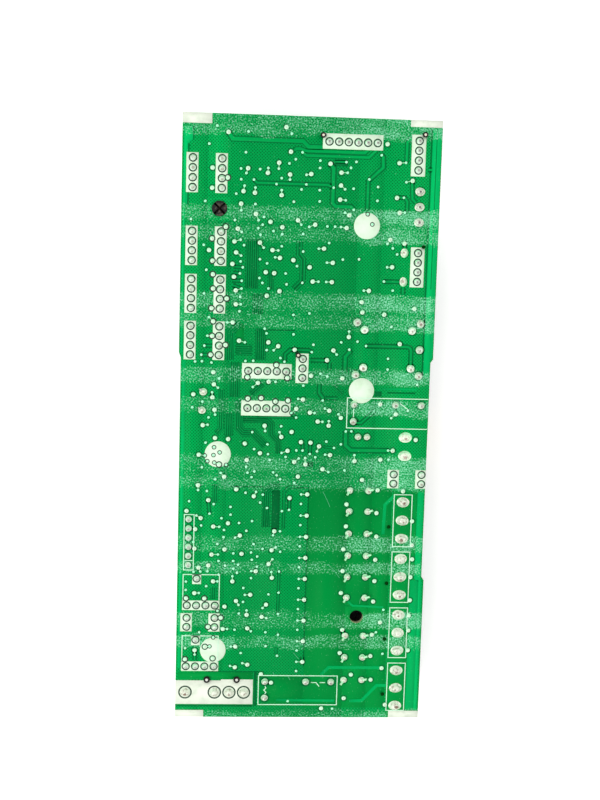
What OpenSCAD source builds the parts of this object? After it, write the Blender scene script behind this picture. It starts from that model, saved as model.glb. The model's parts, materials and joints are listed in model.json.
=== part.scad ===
// Control board for a wired appliance: a 67 x 160 mm printed circuit assembly lying solder side up
// on its tallest parts. +X runs across the board, +Y along it, +Z out of the soldered face.
// The origin is under the middle of the board, on the surface that the tallest parts stand on.

/* [Board] */
// Width of the laminate
board_w = 67; // [67:1:90]
// Length of the laminate
board_l = 160.7; // [160.7:0.1:220]
// Thickness of the laminate
board_t = 1.6; // [1:0.1:3.2]
// Depth of the routed relief along the middle of the right edge
edge_relief = 0.65; // [0.2:0.05:1.5]
// Radius of the open fixing hole
fixing_r = 1.8; // [1.2:0.1:2.4]
// Radius of the hole that takes the support post
post_hole_r = 2; // [1.5:0.1:2.5]

/* [Signal headers] */
// Pin pitch of the signal headers
pitch = 2.5; // [2:0.1:3]
// Side of a square signal pin
pin_w = 0.64; // [0.4:0.02:0.8]
// Width of a signal header's housing
head_w = 3.7; // [3.5:0.1:3.9]
// Height of a signal header's housing
head_h = 6; // [4:0.5:9]
// Wall of a signal header's housing
head_wall = 0.6; // [0.4:0.1:0.8]
// Floor of a signal header's housing
head_floor = 1.5; // [1:0.1:2.5]
// Housing length past the last pin at each end
head_end = 2.1; // [1.9:0.05:2.3]
// Radius of the locating bosses
boss_r = 0.45; // [0.3:0.05:0.55]

/* [Power headers] */
// Pin pitch of the mains header and the three way power header
power_pitch = 3.96; // [3.5:0.01:4.2]
// Side of a square power pin
power_pin_w = 1.14; // [0.8:0.02:1.3]
// Pin pitch of the output headers
output_pitch = 5; // [4.6:0.1:5.08]
// Height of the output headers
output_h = 12; // [8:0.5:14]
// Height of the locking wall on the mains and power headers
lock_h = 11.4; // [8:0.2:14]

/* [Relays] */
// Height of a slim relay, the tallest part on the board
relay_h = 15.3; // [12:0.1:20]
// Length of a slim relay
relay_l = 20.5; // [19.5:0.1:21.4]
// Width of a slim relay
relay_w = 7.2; // [6:0.1:7.6]
// Gap between a slim relay and the laminate
relay_gap = 0.3; // [0.1:0.1:0.8]

/* [Discs] */
// Diameter of a varistor
disc_d = 7; // [5:0.1:9]
// Thickness of a varistor
disc_t = 3.6; // [2:0.1:4.6]
// Lead pitch of a varistor
disc_pitch = 4.95; // [4:0.05:6]

/* [Transformer] */
// Width of the ferrite core across its legs
core_w = 19.6; // [17:0.1:22]
// Thickness of the ferrite core
core_t = 5.6; // [4:0.1:7]
// Diameter of the winding
coil_d = 11.6; // [8:0.1:12]

/* [Solder] */
// Radius of a solder joint on a signal pin
joint_r = 0.86; // [0.7:0.02:1]
// Height of a solder joint on a signal pin
joint_h = 0.8; // [0.4:0.05:1.2]
// Radius of a test pad's solder
test_pad_r = 0.68; // [0.4:0.02:0.8]
// Radius of a filled via
via_r = 0.42; // [0.3:0.02:0.5]
// Height of a filled via over the laminate
via_h = 0.1; // [0.04:0.02:0.2]

/* [Hidden] */
$fn = 48;
eps = 0.01;

// Levels: the laminate's component face and its soldered face
stand = relay_h + relay_gap;
solder_z = stand + board_t;

// How far the cut ends of the pins stand past the soldered face
pin_out = 0.95;
lead_out = 0.7;

// The layout is drawn for the smallest board. On a larger one, what lies near an edge goes with it.
layout_w = 67;
layout_l = 160.7;
left_zone = -20;
right_zone = 10.4;
end_zone = 60;
datum_x = 0.15;
function shift(v, low, high, extra) = v > high ? extra / 2 : v < low ? -extra / 2 : 0;
function at(p) = [
    p.x + datum_x + shift(p.x, left_zone, right_zone, board_w - layout_w),
    p.y + shift(p.y, -end_zone, end_zone, board_l - layout_l)];

// Turns an offset in the plane by an angle
function turned(p, a) = [p.x * cos(a) - p.y * sin(a), p.x * sin(a) + p.y * cos(a)];

// ---- Places on the board, in millimetres from its centre, read from the soldered side ----

post_at = [-23.8, 56.3];
fixing_at = [15.35, -51.9];

// Rows that stand close to another part keep that end in place when their pitch grows
layout_pitch = 2.5;
grow = pitch - layout_pitch;

// Signal headers: centre of the row, ways, turn, boss from pin 1 along the row
head_top_6 = [[10.3, 74.2], 6, 0, [-1.6, 1.55]];
head_top_4 = [[27.4, 71.35], 4, -90, [-1.6, 1.45]];
head_side_4 = [[28.2, 42.6], 4, -90, [-1.6, 1.4]];
head_mid_3 = [[-1.2, 15.4], 3, -90, [-0.95, -1.25]];
head_in_5a = [[-10.45 - 2 * grow, 14.45], 5, 0, []];
head_in_5b = [[-10.45 - 2 * grow, 4.6], 5, 0, []];
signal_heads = [head_top_6, head_top_4, head_side_4, head_mid_3, head_in_5a, head_in_5b];

program_head = [[-30.35, -31.8 + 2.5 * grow], 6, -90, []];

// Mains header: five places, the fourth left empty; power header: three places
mains_at = [-22.6, -73.35];
mains_ways = 5;
mains_empty = 3;
power_at = [28.1, 58.2];
power_ways = 3;

// Output headers: the first centre and the step to the next
output_first = [26.85, -25.1];
output_step = 15.6;
output_count = 4;
output_ways = 3;
function output_at(i) = [output_first.x, output_first.y - output_step * i];

// Dual in-line parts
dip8_at = [[-27.1, 65.25 + 1.5 * grow], [-27, 46.65 - 1.5 * grow], [-27, 34.3], [-27, 22.15]];
dip4_at = [[27.8, -13.8], [-26.7, -53.85]];
dip_row = 7.5;
function dip_pins(n) = [for (s = [-1, 1], i = [0:n - 1]) [s * dip_row / 2, (i - (n - 1) / 2) * pitch]];

// Small sealed relays: four pins in a row and one alone
small_relay_at = [[-26.7, -45.45], [-26.7, -62.4]];
small_relay_pins = concat([for (i = [0:3]) [(i - 1.5) * pitch, -3.7]], [[-1.25, 3.7]]);

// Slim relays: two coil pins at one end, two contact pins on one side
slim_relay_at = [[0, -72.6], [21.7, 3.85]];
coil_pins = [[-9, 2.3], [-9, -2.3]];
contact_pins = [[2.15, 2.3], [9, 2.3]];

// Transformer: two pins on the left rail, three on the right
transformer_at = [21.25, 20.95];
rail_x = 8.4;
rail_pin_y = 6.9;
transformer_pins_at = [
    [-rail_x, rail_pin_y], [-rail_x, -rail_pin_y],
    [rail_x, rail_pin_y], [rail_x, 0], [rail_x, -rail_pin_y]];
// Free alternative pads inside the transformer's own
spare_pads = [[-6.4, 5], [-6.4, -5], [6.2, 5], [6.2, -5]];

// Two lead parts
electrolytic_at = [15.3, -2.55];
electrolytic_pitch = 2.4;
film_at = [26.8, -5];
film_pitch = 5;
ceramic_at = [24.6, 42.5];
ceramic_pitch = 7.5;
crystal_at = [-27.25, 6.2];
crystal_pitch = 4.9;

// Switched channels: the height of each along the board
channel_x = 14.95;
channel_y = [-17.1, -22.8, -28.9, -34.95, -40.85, -46.6, -57.25, -63.3, -69.7];
opto_first = [6.35, -19.6];
opto_step = 5.79;
function opto_at(i) = [opto_first.x, opto_first.y - opto_step * i];

// Surface parts
controller_at = [-7.4, 31];
driver_at = [[-8.6, -8.2], [-8.6, -32.5]];
bulk_at = [[14.5, 45.6], [14.5, 60.6]];

// Rows of chip parts: first place, count, step, turn
resistor_rows = [
    [[-19.2, 72], 6, [2.6, 0], 90], [[-2, 66.5], 5, [2.6, 0], 90], [[-18.4, 62.5], 4, [0, -2.4], 0],
    [[-19.5, 48], 5, [0, -2.4], 0], [[-19.5, 34], 5, [0, -2.4], 0], [[-15.4, 20.4], 5, [2.5, 0], 90],
    [[-15.4, 9.5], 5, [2.5, 0], 90], [[-21.5, -14], 4, [0, -2.4], 0], [[-24, -28], 5, [0, -2.4], 0],
    [[-4.4, -19.4], 9, [0, -opto_step], 90], [[-17.6, -40], 5, [0, -2.4], 0],
    [[21.2, -22.6], 3, [0, -3.2], 0]];
capacitor_rows = [
    [[-0.2, 37.4], 5, [0, -2.6], 0], [[-14.6, 36], 4, [0, -2.6], 0], [[4.5, 24], 4, [0, -2.6], 0],
    [[20.6, 70], 3, [0, -2.6], 0], [[4.8, 8.4], 4, [0, -2.6], 0], [[-17.8, -56.5], 4, [0, -2.6], 0],
    [[-14, -20.5], 4, [0, -2.6], 0]];

// Test pads, from the top edge down. Along the channels they repeat and are added by a loop.
test_pads_at = [
    [-21.9, 75.7], [-7.1, 77.4], [19.1, 74], [-5.8, 71.25], [22.4, 69.3], [4.5, 68.55], [-8.75, 68.4],
    [-16.7, 66.75], [-25.8, 66.6], [-11.6, 65.75], [-5.85, 65.5], [-0.4, 65.8], [7.4, 66.4],
    [26, 64.9], [-21.85, 64.2], [7.4, 63.1], [-25.8, 61.5], [-17.75, 60.9], [-14.8, 60.6],
    [-7.9, 60.2], [22.1, 60.4], [7.3, 59.5], [-18.3, 57.7], [22.9, 56.6], [9.8, 55.6], [-14.4, 55.2],
    [-3.5, 53.9], [-10.6, 53.3], [1, 52.9], [9.2, 52.3], [-7.5, 52], [-22.1, 51.7], [-19, 51.3],
    [20.75, 49.6], [-25.6, 48.6], [24.5, 48.7], [-19.8, 48], [-13.2, 47.9], [3.5, 46.8],
    [-9.9, 46.05], [-26.3, 45.6], [-19.3, 45.2], [-7.9, 44.1], [-4.4, 43.6], [5.9, 43.2],
    [-25.4, 42.9], [21.5, 42.5], [-20.2, 42.2], [-0.1, 41.9], [-11.5, 40.3], [-9.3, 40.1],
    [-25.2, 39.4], [-19.75, 38.9], [0.8, 38.2], [5.8, 38.2], [15.6, 36.2], [-25.1, 35.7],
    [-7.8, 35.5], [-19.2, 35.4], [-11.1, 34.2], [-21.5, 33.2], [13.8, 33.2], [27.8, 31.8],
    [-19.1, 31.8], [-25.4, 30.6], [14.1, 30.5], [19.9, 30.05], [-24.9, 27.2], [-19.8, 27.05],
    [10.75, 23.95], [-25.1, 23.4], [24.3, 22.4], [-18.05, 22.3], [-10.35, 22.05], [-7.75, 21.1],
    [-21.55, 21.1], [6.8, 20.3], [-3.4, 20.25], [-25.4, 18.45], [5.2, 17.7], [-8.1, 16.15],
    [-24.6, 13.9], [1.1, 13.5], [9.4, 13], [-15.65, 12.75], [-5.15, 12.75], [-10, 11.7],
    [-12.85, 11.3], [-24.4, 10.7], [-29.7, 7.95], [-11.9, 7.3], [-24.7, 7.25], [-0.85, 7.15],
    [-15.4, 7.1], [-4.8, 6.8], [-8.1, 6.5], [19.7, 6.3], [-2.55, 4.65], [6.2, 4.3], [-24.1, 3.95],
    [1.1, 3.7], [23.95, 3.7], [9.35, 2.45], [3.25, 1.35], [6.2, 0.3], [-10.8, -0.05], [-27.1, -0.2],
    [-3.6, -1.55], [-6.3, -2.95], [29.6, -3.1], [-23.8, -3.55], [-20.35, -3.8], [-1.05, -4.25],
    [1.5, -4.35], [-15.9, -4.9], [3.8, -5.3], [23.55, -6.1], [-4.55, -6.65], [-11.85, -7.4],
    [6.8, -7.6], [-28, -8.1], [20.3, -8.6], [13.4, -9.1], [-15.3, -9.3], [-2.7, -9.6],
    [0.3, -10.2], [-22.6, -10.65], [4.9, -11.45], [-1.6, -13.55], [-21.2, -13.9], [15.6, -14.15],
    [-28.05, -16.3], [26.75, -17.1], [-17.9, -17.25], [-13.2, -19.05], [-3.65, -19.4],
    [-25.25, -20.3], [-30.95, -23.3], [-27.2, -25.2], [29.5, -25.25], [-19.9, -26.5],
    [-23.8, -27.45], [-28.6, -28.2], [-7.5, -28.5], [-16.65, -29.8], [29.7, -31.85], [-28.7, -33.5],
    [-20.7, -33.65], [-8.1, -33.7], [-16.1, -34.8], [-24.1, -35.1], [29.95, -35.75], [-8.8, -37.5],
    [-24.9, -38.1], [-27.55, -38.7], [-12.2, -39.55], [29.7, -40.7], [-7.8, -41.3], [-18.4, -42.4],
    [-23.55, -42.45], [-28.5, -45.75], [-13.5, -46.05], [29.8, -47.15], [-30.7, -47.2],
    [-25.8, -47.2], [-17.3, -47.8], [-9.2, -48.75], [-20.35, -49.4], [29.7, -51.4],
    [-14.35, -51.65], [-10.3, -52.15], [-21.3, -52.5], [21.9, -53.4], [-24.7, -55.05],
    [-14.1, -55.4], [29.7, -55.6], [-20.7, -55.6], [-17.2, -60.5], [-25.4, -60.6], [29.8, -61.2],
    [-28.15, -61.6], [-23.25, -63.85], [-30.7, -64.15], [-13.85, -65.55], [-17.2, -66.3],
    [22.8, -66.3], [-10.1, -68.2], [14.45, -68.2], [-7.3, -70.6], [12.7, -74.9], [24.1, -76.7],
    [6.6, -77.8]];

// Filled vias, from the top edge down
vias_at = [
    [-24.8, 77.2], [-16.8, 76], [-5.7, 75.8], [-26.75, 72.6], [-2.8, 71.2], [17.7, 71.15],
    [-17.35, 70.75], [-4.5, 69.4], [24.1, 69.45], [1.85, 69.25], [11.2, 69.25], [8.6, 69.1],
    [-6.1, 68.3], [9.85, 67.7], [1.85, 67.4], [-8.8, 66.9], [-11.5, 66.95], [-18.5, 66.6],
    [-13.6, 66.6], [9, 66.4], [-1.6, 65.55], [-17.1, 65.5], [14.7, 64.9], [-8, 64.5], [24.4, 64.5],
    [-5.85, 64.2], [-15.1, 63.9], [-18.4, 63.9], [-1.6, 63.1], [17.05, 63.05], [-9.3, 62.95],
    [5.5, 62.5], [10.7, 62.4], [8.5, 62.2], [-17.5, 62.3], [-14.7, 61.9], [-2.8, 61.8],
    [1.9, 61.75], [-7.9, 61.45], [23.9, 60.5], [-19.6, 60.2], [17, 59.5], [8.75, 59.4],
    [2, 58.9], [-4.7, 58.6], [-27.5, 58.1], [-14.6, 57.7], [10.9, 57], [24.3, 56.7], [14.6, 56],
    [8.7, 56.2], [-18.2, 56], [-12.3, 54.5], [-13.7, 53.6], [-19.8, 53.5], [-31.1, 53.4],
    [15.9, 53.4], [-2.6, 52.8], [4.2, 52.55], [6.2, 52.55], [-12.6, 52.5], [7.75, 52.5],
    [-0.5, 52.3], [-13.7, 51.6], [-9.75, 50.95], [-18, 50.5], [-2.05, 50.4], [-7.5, 50.2],
    [-13.1, 49.9], [20.05, 48.5], [-18.2, 48.5], [4.8, 48.3], [21.5, 47.4], [-17.3, 47.1],
    [-7.5, 47.1], [-27.7, 46.9], [2.15, 46.75], [-12.2, 46.6], [-8.4, 46], [-1.9, 45.9],
    [22.7, 45.85], [-18, 44.4], [12.75, 44.3], [-9.15, 44.2], [8.5, 44.1], [-13.1, 43.6],
    [4.4, 43.2], [-18.1, 42.9], [-11.2, 42.6], [20.2, 42.45], [-3.4, 42.1], [-17.5, 41.4],
    [-26.9, 40.5], [-6.3, 40.1], [-18.2, 39.8], [-13.1, 38.75], [19.5, 38.7], [2.3, 38.2],
    [4.35, 38.2], [-17.7, 37.9], [-1.9, 37.8], [-12.3, 37.5], [-6, 37.3], [21.9, 36.4],
    [14.3, 36.2], [-10.7, 36.1], [-17.7, 35.9], [-27.4, 34.4], [-18, 33.75], [-17.8, 31.8],
    [-18.1, 30], [0.2, 29.9], [-4, 29.4], [-26, 28.25], [-21.2, 27], [21.9, 26.9], [-11.4, 25.6],
    [10.8, 25.4], [-10.9, 24.4], [-3.8, 24.3], [-26.3, 23.4], [13.1, 22.8], [8.8, 22.5],
    [-16.5, 21.9], [1.5, 21.7], [15.4, 21.7], [-27.05, 20.8], [11, 20.6], [-8.9, 20],
    [-10.75, 20], [1.1, 19.75], [7.7, 19.25], [21.35, 18.45], [-27.8, 18.4], [-7.1, 18],
    [-14.2, 17.1], [-6, 17.05], [-16.25, 17], [-27.6, 16.7], [-29.4, 16.6], [-25.1, 16.4],
    [21.35, 15.6], [3.6, 14.1], [5.4, 13.4], [-23, 12.3], [-8.2, 11.7], [29.4, 11.7],
    [-0.85, 10.85], [-14.15, 10.2], [-23.3, 9.8], [-24.8, 8.55], [-2.1, 7.3], [4.4, 7],
    [-27.3, 6.05], [5.05, 4.85], [27.2, 4.7], [-29.9, 4.5], [2.35, 3.6], [-3.8, 3.5],
    [8.7, 3.4], [-23.9, 2.65], [22.8, 2.65], [-2.5, 2.3], [-25.6, 1.9], [6.2, 1.5], [4.5, 1.3],
    [-25.8, -0.05], [-6.4, -0.1], [10.8, -1.15], [12.3, -1.1], [-10.6, -1.45], [-6.8, -1.7],
    [-14, -1.8], [5.7, -4], [9.6, -4.65], [-26.25, -4.85], [-9.9, -5], [7.8, -5.65],
    [-24, -6.05], [22.3, -6.1], [-13.4, -6.35], [-2.2, -6.5], [-0.55, -6.5], [3.3, -6.65],
    [-6.1, -7.25], [1.4, -7.4], [-22.5, -7.4], [13.3, -7.5], [5.5, -7.5], [-9.7, -7.65],
    [-24.1, -8.15], [2.9, -8.25], [-26.4, -8.3], [-5, -8.3], [0.2, -8.5], [22.5, -8.55],
    [-1.5, -8.65], [-9.2, -9.2], [-25.7, -9.8], [-23.85, -10.15], [-20.7, -10.7], [-15.4, -11.1],
    [-27.1, -11.45], [10.8, -11.65], [6.5, -12.2], [-13.2, -12.35], [-8.2, -12.5], [-15, -12.7],
    [-22.1, -12.9], [-7.25, -13.3], [-13.9, -13.9], [-6.3, -14.35], [-23.5, -14.65],
    [-2.5, -15.25], [-28, -17.6], [-25.65, -17.85], [-12.6, -17.85], [-15.4, -18.15],
    [-10.8, -18.6], [-30.3, -20.65], [-11.45, -20.75], [-23.8, -21.35], [-19.3, -22.05],
    [-9.6, -22.2], [-3.7, -22.6], [-5.6, -23], [-24.85, -23.95], [-19.25, -24.15], [-28.3, -24.5],
    [-21.65, -25.15], [-13.5, -25.8], [-16.95, -26.4], [-27, -27.2], [-22.2, -27.5],
    [-20.9, -28.35], [-14.95, -28.5], [-5.95, -28.5], [-7.8, -29.6], [-21, -30.3], [-17.9, -30.4],
    [-29, -31.75], [-12.95, -32.1], [-22.6, -32.2], [-7, -32.9], [-10.5, -33.4], [-5.75, -34.1],
    [-13.55, -34.4], [-18.3, -34.7], [-22.4, -35.05], [-11.9, -35.5], [-7.8, -36.2],
    [-13.3, -36.4], [-18.3, -36.8], [-22.2, -36.85], [-16.95, -37.8], [-20.4, -38.1],
    [-11.9, -38.3], [-18.2, -38.9], [-13.35, -39.5], [-5.9, -39.55], [-25.1, -39.7],
    [-8, -39.7], [-27, -39.8], [-28.8, -39.9], [-17.2, -40.05], [-22.1, -40.6], [-18.4, -41],
    [-13.4, -41.45], [-22.4, -42.45], [-30.8, -42.6], [-25.35, -43.8], [-15.4, -44.2],
    [-30.8, -44.9], [-5.9, -45.4], [-27.3, -45.7], [-8.6, -45.9], [-14.95, -46.1], [-15.4, -48.05],
    [-16.6, -48.9], [-10.1, -49.7], [22.7, -49.9], [-14.4, -50.4], [-22.2, -50.6], [-5.9, -51.3],
    [-16.45, -51.3], [-9, -52.5], [-19.5, -55.6], [-17.5, -55.8], [-13.1, -56.2], [20.9, -56.2],
    [-9.15, -56.45], [-27, -56.6], [-5.75, -57.1], [-23.2, -58], [-9, -60.3], [-18.4, -60.5],
    [-24.15, -60.5], [-30.7, -61.05], [22.9, -62.25], [-15.7, -62.3], [-28.1, -62.8],
    [-5.85, -63], [-15.2, -65.15], [-18.5, -65.95], [-2.6, -75.8], [9.6, -77.9]];

// Each channel has a test pad beside its optotriac, two vias behind it and one pad at each lead
channel_pads_at = [
    [11.65, -20.9], [11.7, -26.9], [11.2, -33.2], [11.2, -39.2], [10.95, -45.3], [11.65, -55.6],
    [11.2, -62.1], [19.9, -16.9], [19.8, -23.15], [20, -29.6], [19.95, -36], [19.95, -41.9],
    [19.8, -47.6], [19.75, -56.9], [19.6, -62.9], [19.9, -69.6]];
function opto_pad(i) = [1.05, -18.35 - opto_step * i];
opto_via_x = -0.55;
opto_via_drop = 2.6;

// ---- Helpers ----

// Draws a part with +Z pointing away from the component face, at its place on the board
module hang(p, a = 0) {
    translate([at(p).x, at(p).y, stand]) mirror([0, 0, 1]) rotate([0, 0, a]) children();
}

// Draws solder on the soldered face
module soldered(p) {
    translate([p.x, p.y, solder_z]) children();
}

// Places of a row of pins along X, centred
function row_pins(n, step) = [for (i = [0:n - 1]) [(i - (n - 1) / 2) * step, 0]];

// Places on the board of a part's own pins
function placed(p, a, pins) = [for (q = pins) at(p) + turned(q, a)];

// Rectangle with its corners cut at 45 degrees
module cut_plate(l, w, c) {
    x = l / 2;
    y = w / 2;
    polygon([[-x + c, -y], [x - c, -y], [x, -y + c], [x, y - c],
        [x - c, y], [-x + c, y], [-x, y - c], [-x, -y + c]]);
}

// Block from z0 to z1 with the edges round its two ends chamfered
module cut_block(l, w, z0, z1, low, high) {
    intersection() {
        rotate([90, 0, 0]) linear_extrude(w + eps, center = true) end_profile(l, z0, z1, low, high);
        rotate([90, 0, 90]) linear_extrude(l + eps, center = true) end_profile(w, z0, z1, low, high);
    }
}
module end_profile(w, z0, z1, low, high) {
    x = w / 2;
    polygon([[-x + low, z0], [x - low, z0], [x, z0 + low], [x, z1 - high],
        [x - high, z1], [-x + high, z1], [-x, z1 - high], [-x, z0 + low]]);
}

// Square pin with pointed ends
module pin(w, z0, z1) {
    cut_block(w, w, z0, z1, w / 4, w / 4);
}

// Square pins at each place, with their own lower end and height
module pins(places, w, top) {
    for (q = places) {
        translate([q.x, q.y, stand]) mirror([0, 0, 1]) pin(w, -board_t - pin_out, top);
    }
}

// Profile of a solder joint: it climbs from the pad's edge to the pin in a hollow curve
function fillet_points(r, top, h) = let(n = 4)
    [for (i = [0:n]) [r - (r - top) * i / n, h * pow(i / n, 1.6)]];
module fillet(r, top, h) {
    rotate_extrude() polygon(concat([[0, 0]], fillet_points(r, top, h), [[0, h]]));
}

// Solder joint drawn out by s to both sides along X
module long_fillet(r, top, h, s) {
    side = fillet_points(r, top, h);
    for (m = [-1, 1]) translate([m * s, 0, 0]) fillet(r, top, h);
    rotate([90, 0, 90]) linear_extrude(2 * s, center = true)
        polygon(concat(side, [for (i = [len(side) - 1:-1:0]) [-side[i].x, side[i].y]]));
}

// Low drop of solder: a cap cut from a sphere
module drop(r, h) {
    ball = (r * r + h * h) / (2 * h);
    rotate_extrude() intersection() {
        translate([0, h - ball]) circle(ball);
        square([r, h]);
    }
}

// ---- Places of every pin ----

function head_places(h) = placed(h[0], h[2], row_pins(h[1], pitch));
signal_places = [for (h = signal_heads) each head_places(h)];
program_places = head_places(program_head);
dip_places = concat(
    [for (c = dip8_at) each placed(c, 0, dip_pins(4))],
    [for (c = dip4_at) each placed(c, 0, dip_pins(2))]);
small_relay_places = [for (c = small_relay_at) each placed(c, 0, small_relay_pins)];
coil_places = [for (c = slim_relay_at) each placed(c, 0, coil_pins)];
contact_places = [for (c = slim_relay_at) each placed(c, 0, contact_pins)];
mains_pins = [for (i = [0:mains_ways - 1]) if (i != mains_empty) row_pins(mains_ways, power_pitch)[i]];
mains_places = placed(mains_at, 180, mains_pins);
power_places = placed(power_at, -90, row_pins(power_ways, power_pitch));
output_places = [for (i = [0:output_count - 1])
    each placed(output_at(i), -90, row_pins(output_ways, output_pitch))];
transformer_places = placed(transformer_at, 0, transformer_pins_at);
film_places = placed(film_at, 90, row_pins(2, film_pitch));
ceramic_places = placed(ceramic_at, 90, row_pins(2, ceramic_pitch));
electrolytic_places = placed(electrolytic_at, 0, row_pins(2, electrolytic_pitch));
crystal_places = placed(crystal_at, 87, row_pins(2, crystal_pitch));
varistor_places = [for (y = channel_y) each placed([channel_x, y], 0, row_pins(2, disc_pitch))];

// ---- Leads and their section ----

boss_out = 0.45;
boss_clear = 0.2;
power_boss_r = 0.5;
power_boss_clear = 0.35;
mains_bosses = [[2.15, -3.6], [-5.95, -3.6]];
output_boss = [1.75, -3.55];
pin_clear = 0.05;
square_to_round = sqrt(2) / 2;
coil_pin_w = 0.5;
contact_pin_w = 0.7;
small_relay_pin_w = 0.5;
transformer_pin_w = 0.6;
dip_lead = [0.26, 0.48];
lead_r = 0.3;
thin_lead_r = 0.24;

// A hole that just clears a square pin
module pin_holes(places, w) {
    for (q = places) translate(q) circle(w * square_to_round + pin_clear);
}
module lead_holes(places, r) {
    for (q = places) translate(q) circle(r + pin_clear);
}
function boss_place(h) = at(h[0]) + turned([-(h[1] - 1) / 2 * pitch, 0] + h[3], h[2]);

// ---- Laminate ----

module board_outline() {
    x = board_w / 2;
    y = board_l / 2;
    left_step = 0.5;
    relief_top = 17.6;
    relief_end = -40.6;
    ramp = 0.9;
    polygon([
        [-x + left_step, -y], [x, -y], [x, relief_end - ramp], [x - edge_relief, relief_end],
        [x - edge_relief, relief_top], [x, relief_top + ramp], [x, y], [-x, y],
        [-x, relief_top + 1.5 * ramp], [-x + left_step, relief_top]]);
}

module board() {
    color("seagreen") translate([0, 0, stand]) linear_extrude(board_t) difference() {
        board_outline();
        translate(at(fixing_at)) circle(fixing_r);
        translate(at(post_at)) circle(post_hole_r);
        for (h = signal_heads) {
            if (len(h[3]) > 0) translate(boss_place(h)) circle(boss_r + boss_clear);
        }
        for (q = placed(mains_at, 180, mains_bosses)) translate(q) circle(power_boss_r + power_boss_clear);
        for (i = [0:output_count - 1]) {
            translate(placed(output_at(i), -90, [output_boss])[0]) circle(boss_r + boss_clear);
        }
        pin_holes(concat(signal_places, program_places), pin_w);
        pin_holes(small_relay_places, small_relay_pin_w);
        pin_holes(concat(mains_places, power_places, output_places), power_pin_w);
        pin_holes(coil_places, coil_pin_w);
        pin_holes(contact_places, contact_pin_w);
        pin_holes(transformer_places, transformer_pin_w);
        lead_holes(dip_places, norm(dip_lead) / 2);
        lead_holes(concat(film_places, ceramic_places, varistor_places), lead_r);
        lead_holes(concat(electrolytic_places, crystal_places), thin_lead_r);
    }
}

// ---- Solder ----

// Each joint is bored to the pin that it wets
module pin_joint(r, h, w) {
    difference() {
        fillet(r, w * 0.75, h);
        cube([w, w, 4 * h], center = true);
    }
}

module long_pin_joint(r, h, w, s, turn) {
    difference() {
        rotate([0, 0, turn]) long_fillet(r, w * 0.75, h, s);
        cube([w, w, 4 * h], center = true);
    }
}

module solder_signal() {
    color("silver") {
        for (q = concat(signal_places, program_places)) soldered(q) pin_joint(joint_r, joint_h, pin_w);
        for (q = small_relay_places) soldered(q) pin_joint(joint_r, joint_h, small_relay_pin_w);
        for (q = dip_places) soldered(q) difference() {
            fillet(joint_r, dip_lead.y * 0.8, joint_h);
            cube([dip_lead.x, dip_lead.y, 4 * joint_h], center = true);
        }
    }
}

mains_joint_r = 1.5;
output_joint_r = 1.42;
power_joint_r = 1.15;
relay_joint_r = 0.98;
transformer_joint_r = 1.1;
big_joint_h = 1.15;
mid_joint_h = 0.9;

module solder_power() {
    color("silver") {
        for (q = mains_places) soldered(q) pin_joint(mains_joint_r, big_joint_h, power_pin_w);
        for (q = output_places) {
            soldered(q) long_pin_joint(output_joint_r, big_joint_h, power_pin_w, 0.34, 0);
        }
        for (q = power_places) {
            soldered(q) long_pin_joint(power_joint_r, mid_joint_h, power_pin_w, 0.15, 0);
        }
        for (q = coil_places) soldered(q) pin_joint(relay_joint_r, mid_joint_h, coil_pin_w);
        for (q = contact_places) soldered(q) pin_joint(relay_joint_r, mid_joint_h, contact_pin_w);
        for (q = transformer_places) {
            soldered(q) pin_joint(transformer_joint_r, mid_joint_h, transformer_pin_w);
        }
        for (q = placed(transformer_at, 0, spare_pads)) {
            soldered(q) drop(transformer_joint_r, mid_joint_h / 2);
        }
    }
}

// Joint on a round lead that stands straight
module lead_joint(r, h, lead) {
    difference() {
        fillet(r, lead * 1.4, h);
        cylinder(r = lead, h = 4 * h, center = true);
    }
}

// The bent end of a lead, in the soldered face's frame, leaning towards an angle in the plane
clinch_tilt = 64;
clinch_len = 1.5;
clinch_rise = 0.3;
module clinch(lead, a) {
    translate([0, 0, clinch_rise]) {
        sphere(lead * 1.03);
        rotate([0, clinch_tilt, a]) cylinder(r = lead, h = clinch_len);
    }
}

// Joint over a bent lead
module clinched_joint(r, h, lead, a) {
    difference() {
        drop(r, h);
        translate([0, 0, -h]) cylinder(r = lead, h = h + clinch_rise);
        clinch(lead, a);
    }
}

left_clinch = 232;
right_clinch = 24;
crystal_clinch = 140;
clinched_r = 0.9;
clinched_h = 0.72;

module solder_leads() {
    color("silver") {
        for (i = [0:len(varistor_places) - 1]) {
            soldered(varistor_places[i])
                clinched_joint(clinched_r, clinched_h, lead_r, i % 2 == 0 ? left_clinch : right_clinch);
        }
        for (q = crystal_places) soldered(q) clinched_joint(1, clinched_h, thin_lead_r, crystal_clinch);
        for (q = electrolytic_places) soldered(q) lead_joint(0.88, joint_h, thin_lead_r);
        for (q = ceramic_places) soldered(q) difference() {
            rotate([0, 0, 90]) long_fillet(1.05, lead_r * 1.4, mid_joint_h, 0.16);
            cylinder(r = lead_r, h = 4 * mid_joint_h, center = true);
        }
        for (q = film_places) soldered(q) difference() {
            long_fillet(output_joint_r, lead_r * 1.6, mid_joint_h, 0.34);
            cylinder(r = lead_r, h = 4 * mid_joint_h, center = true);
        }
    }
}

// A pad that a joint would cover moves straight away from it, until the two just touch
pad_touch = 0.03;
function clear_of(p, joints, reach) = let (near = [for (q = joints) if (norm(p - q) < reach) q])
    len(near) == 0 ? p : near[0] + (p - near[0]) * (reach / norm(p - near[0]));
row_places = concat(signal_places, program_places, small_relay_places, dip_places);

module test_pads() {
    pad_reach = joint_r + test_pad_r - pad_touch;
    color("white") {
        for (p = concat(test_pads_at, channel_pads_at))
            soldered(clear_of(at(p), row_places, pad_reach)) drop(test_pad_r, 0.26);
        for (i = [0:8]) soldered(at(opto_pad(i))) drop(test_pad_r, 0.26);
    }
}

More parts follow.
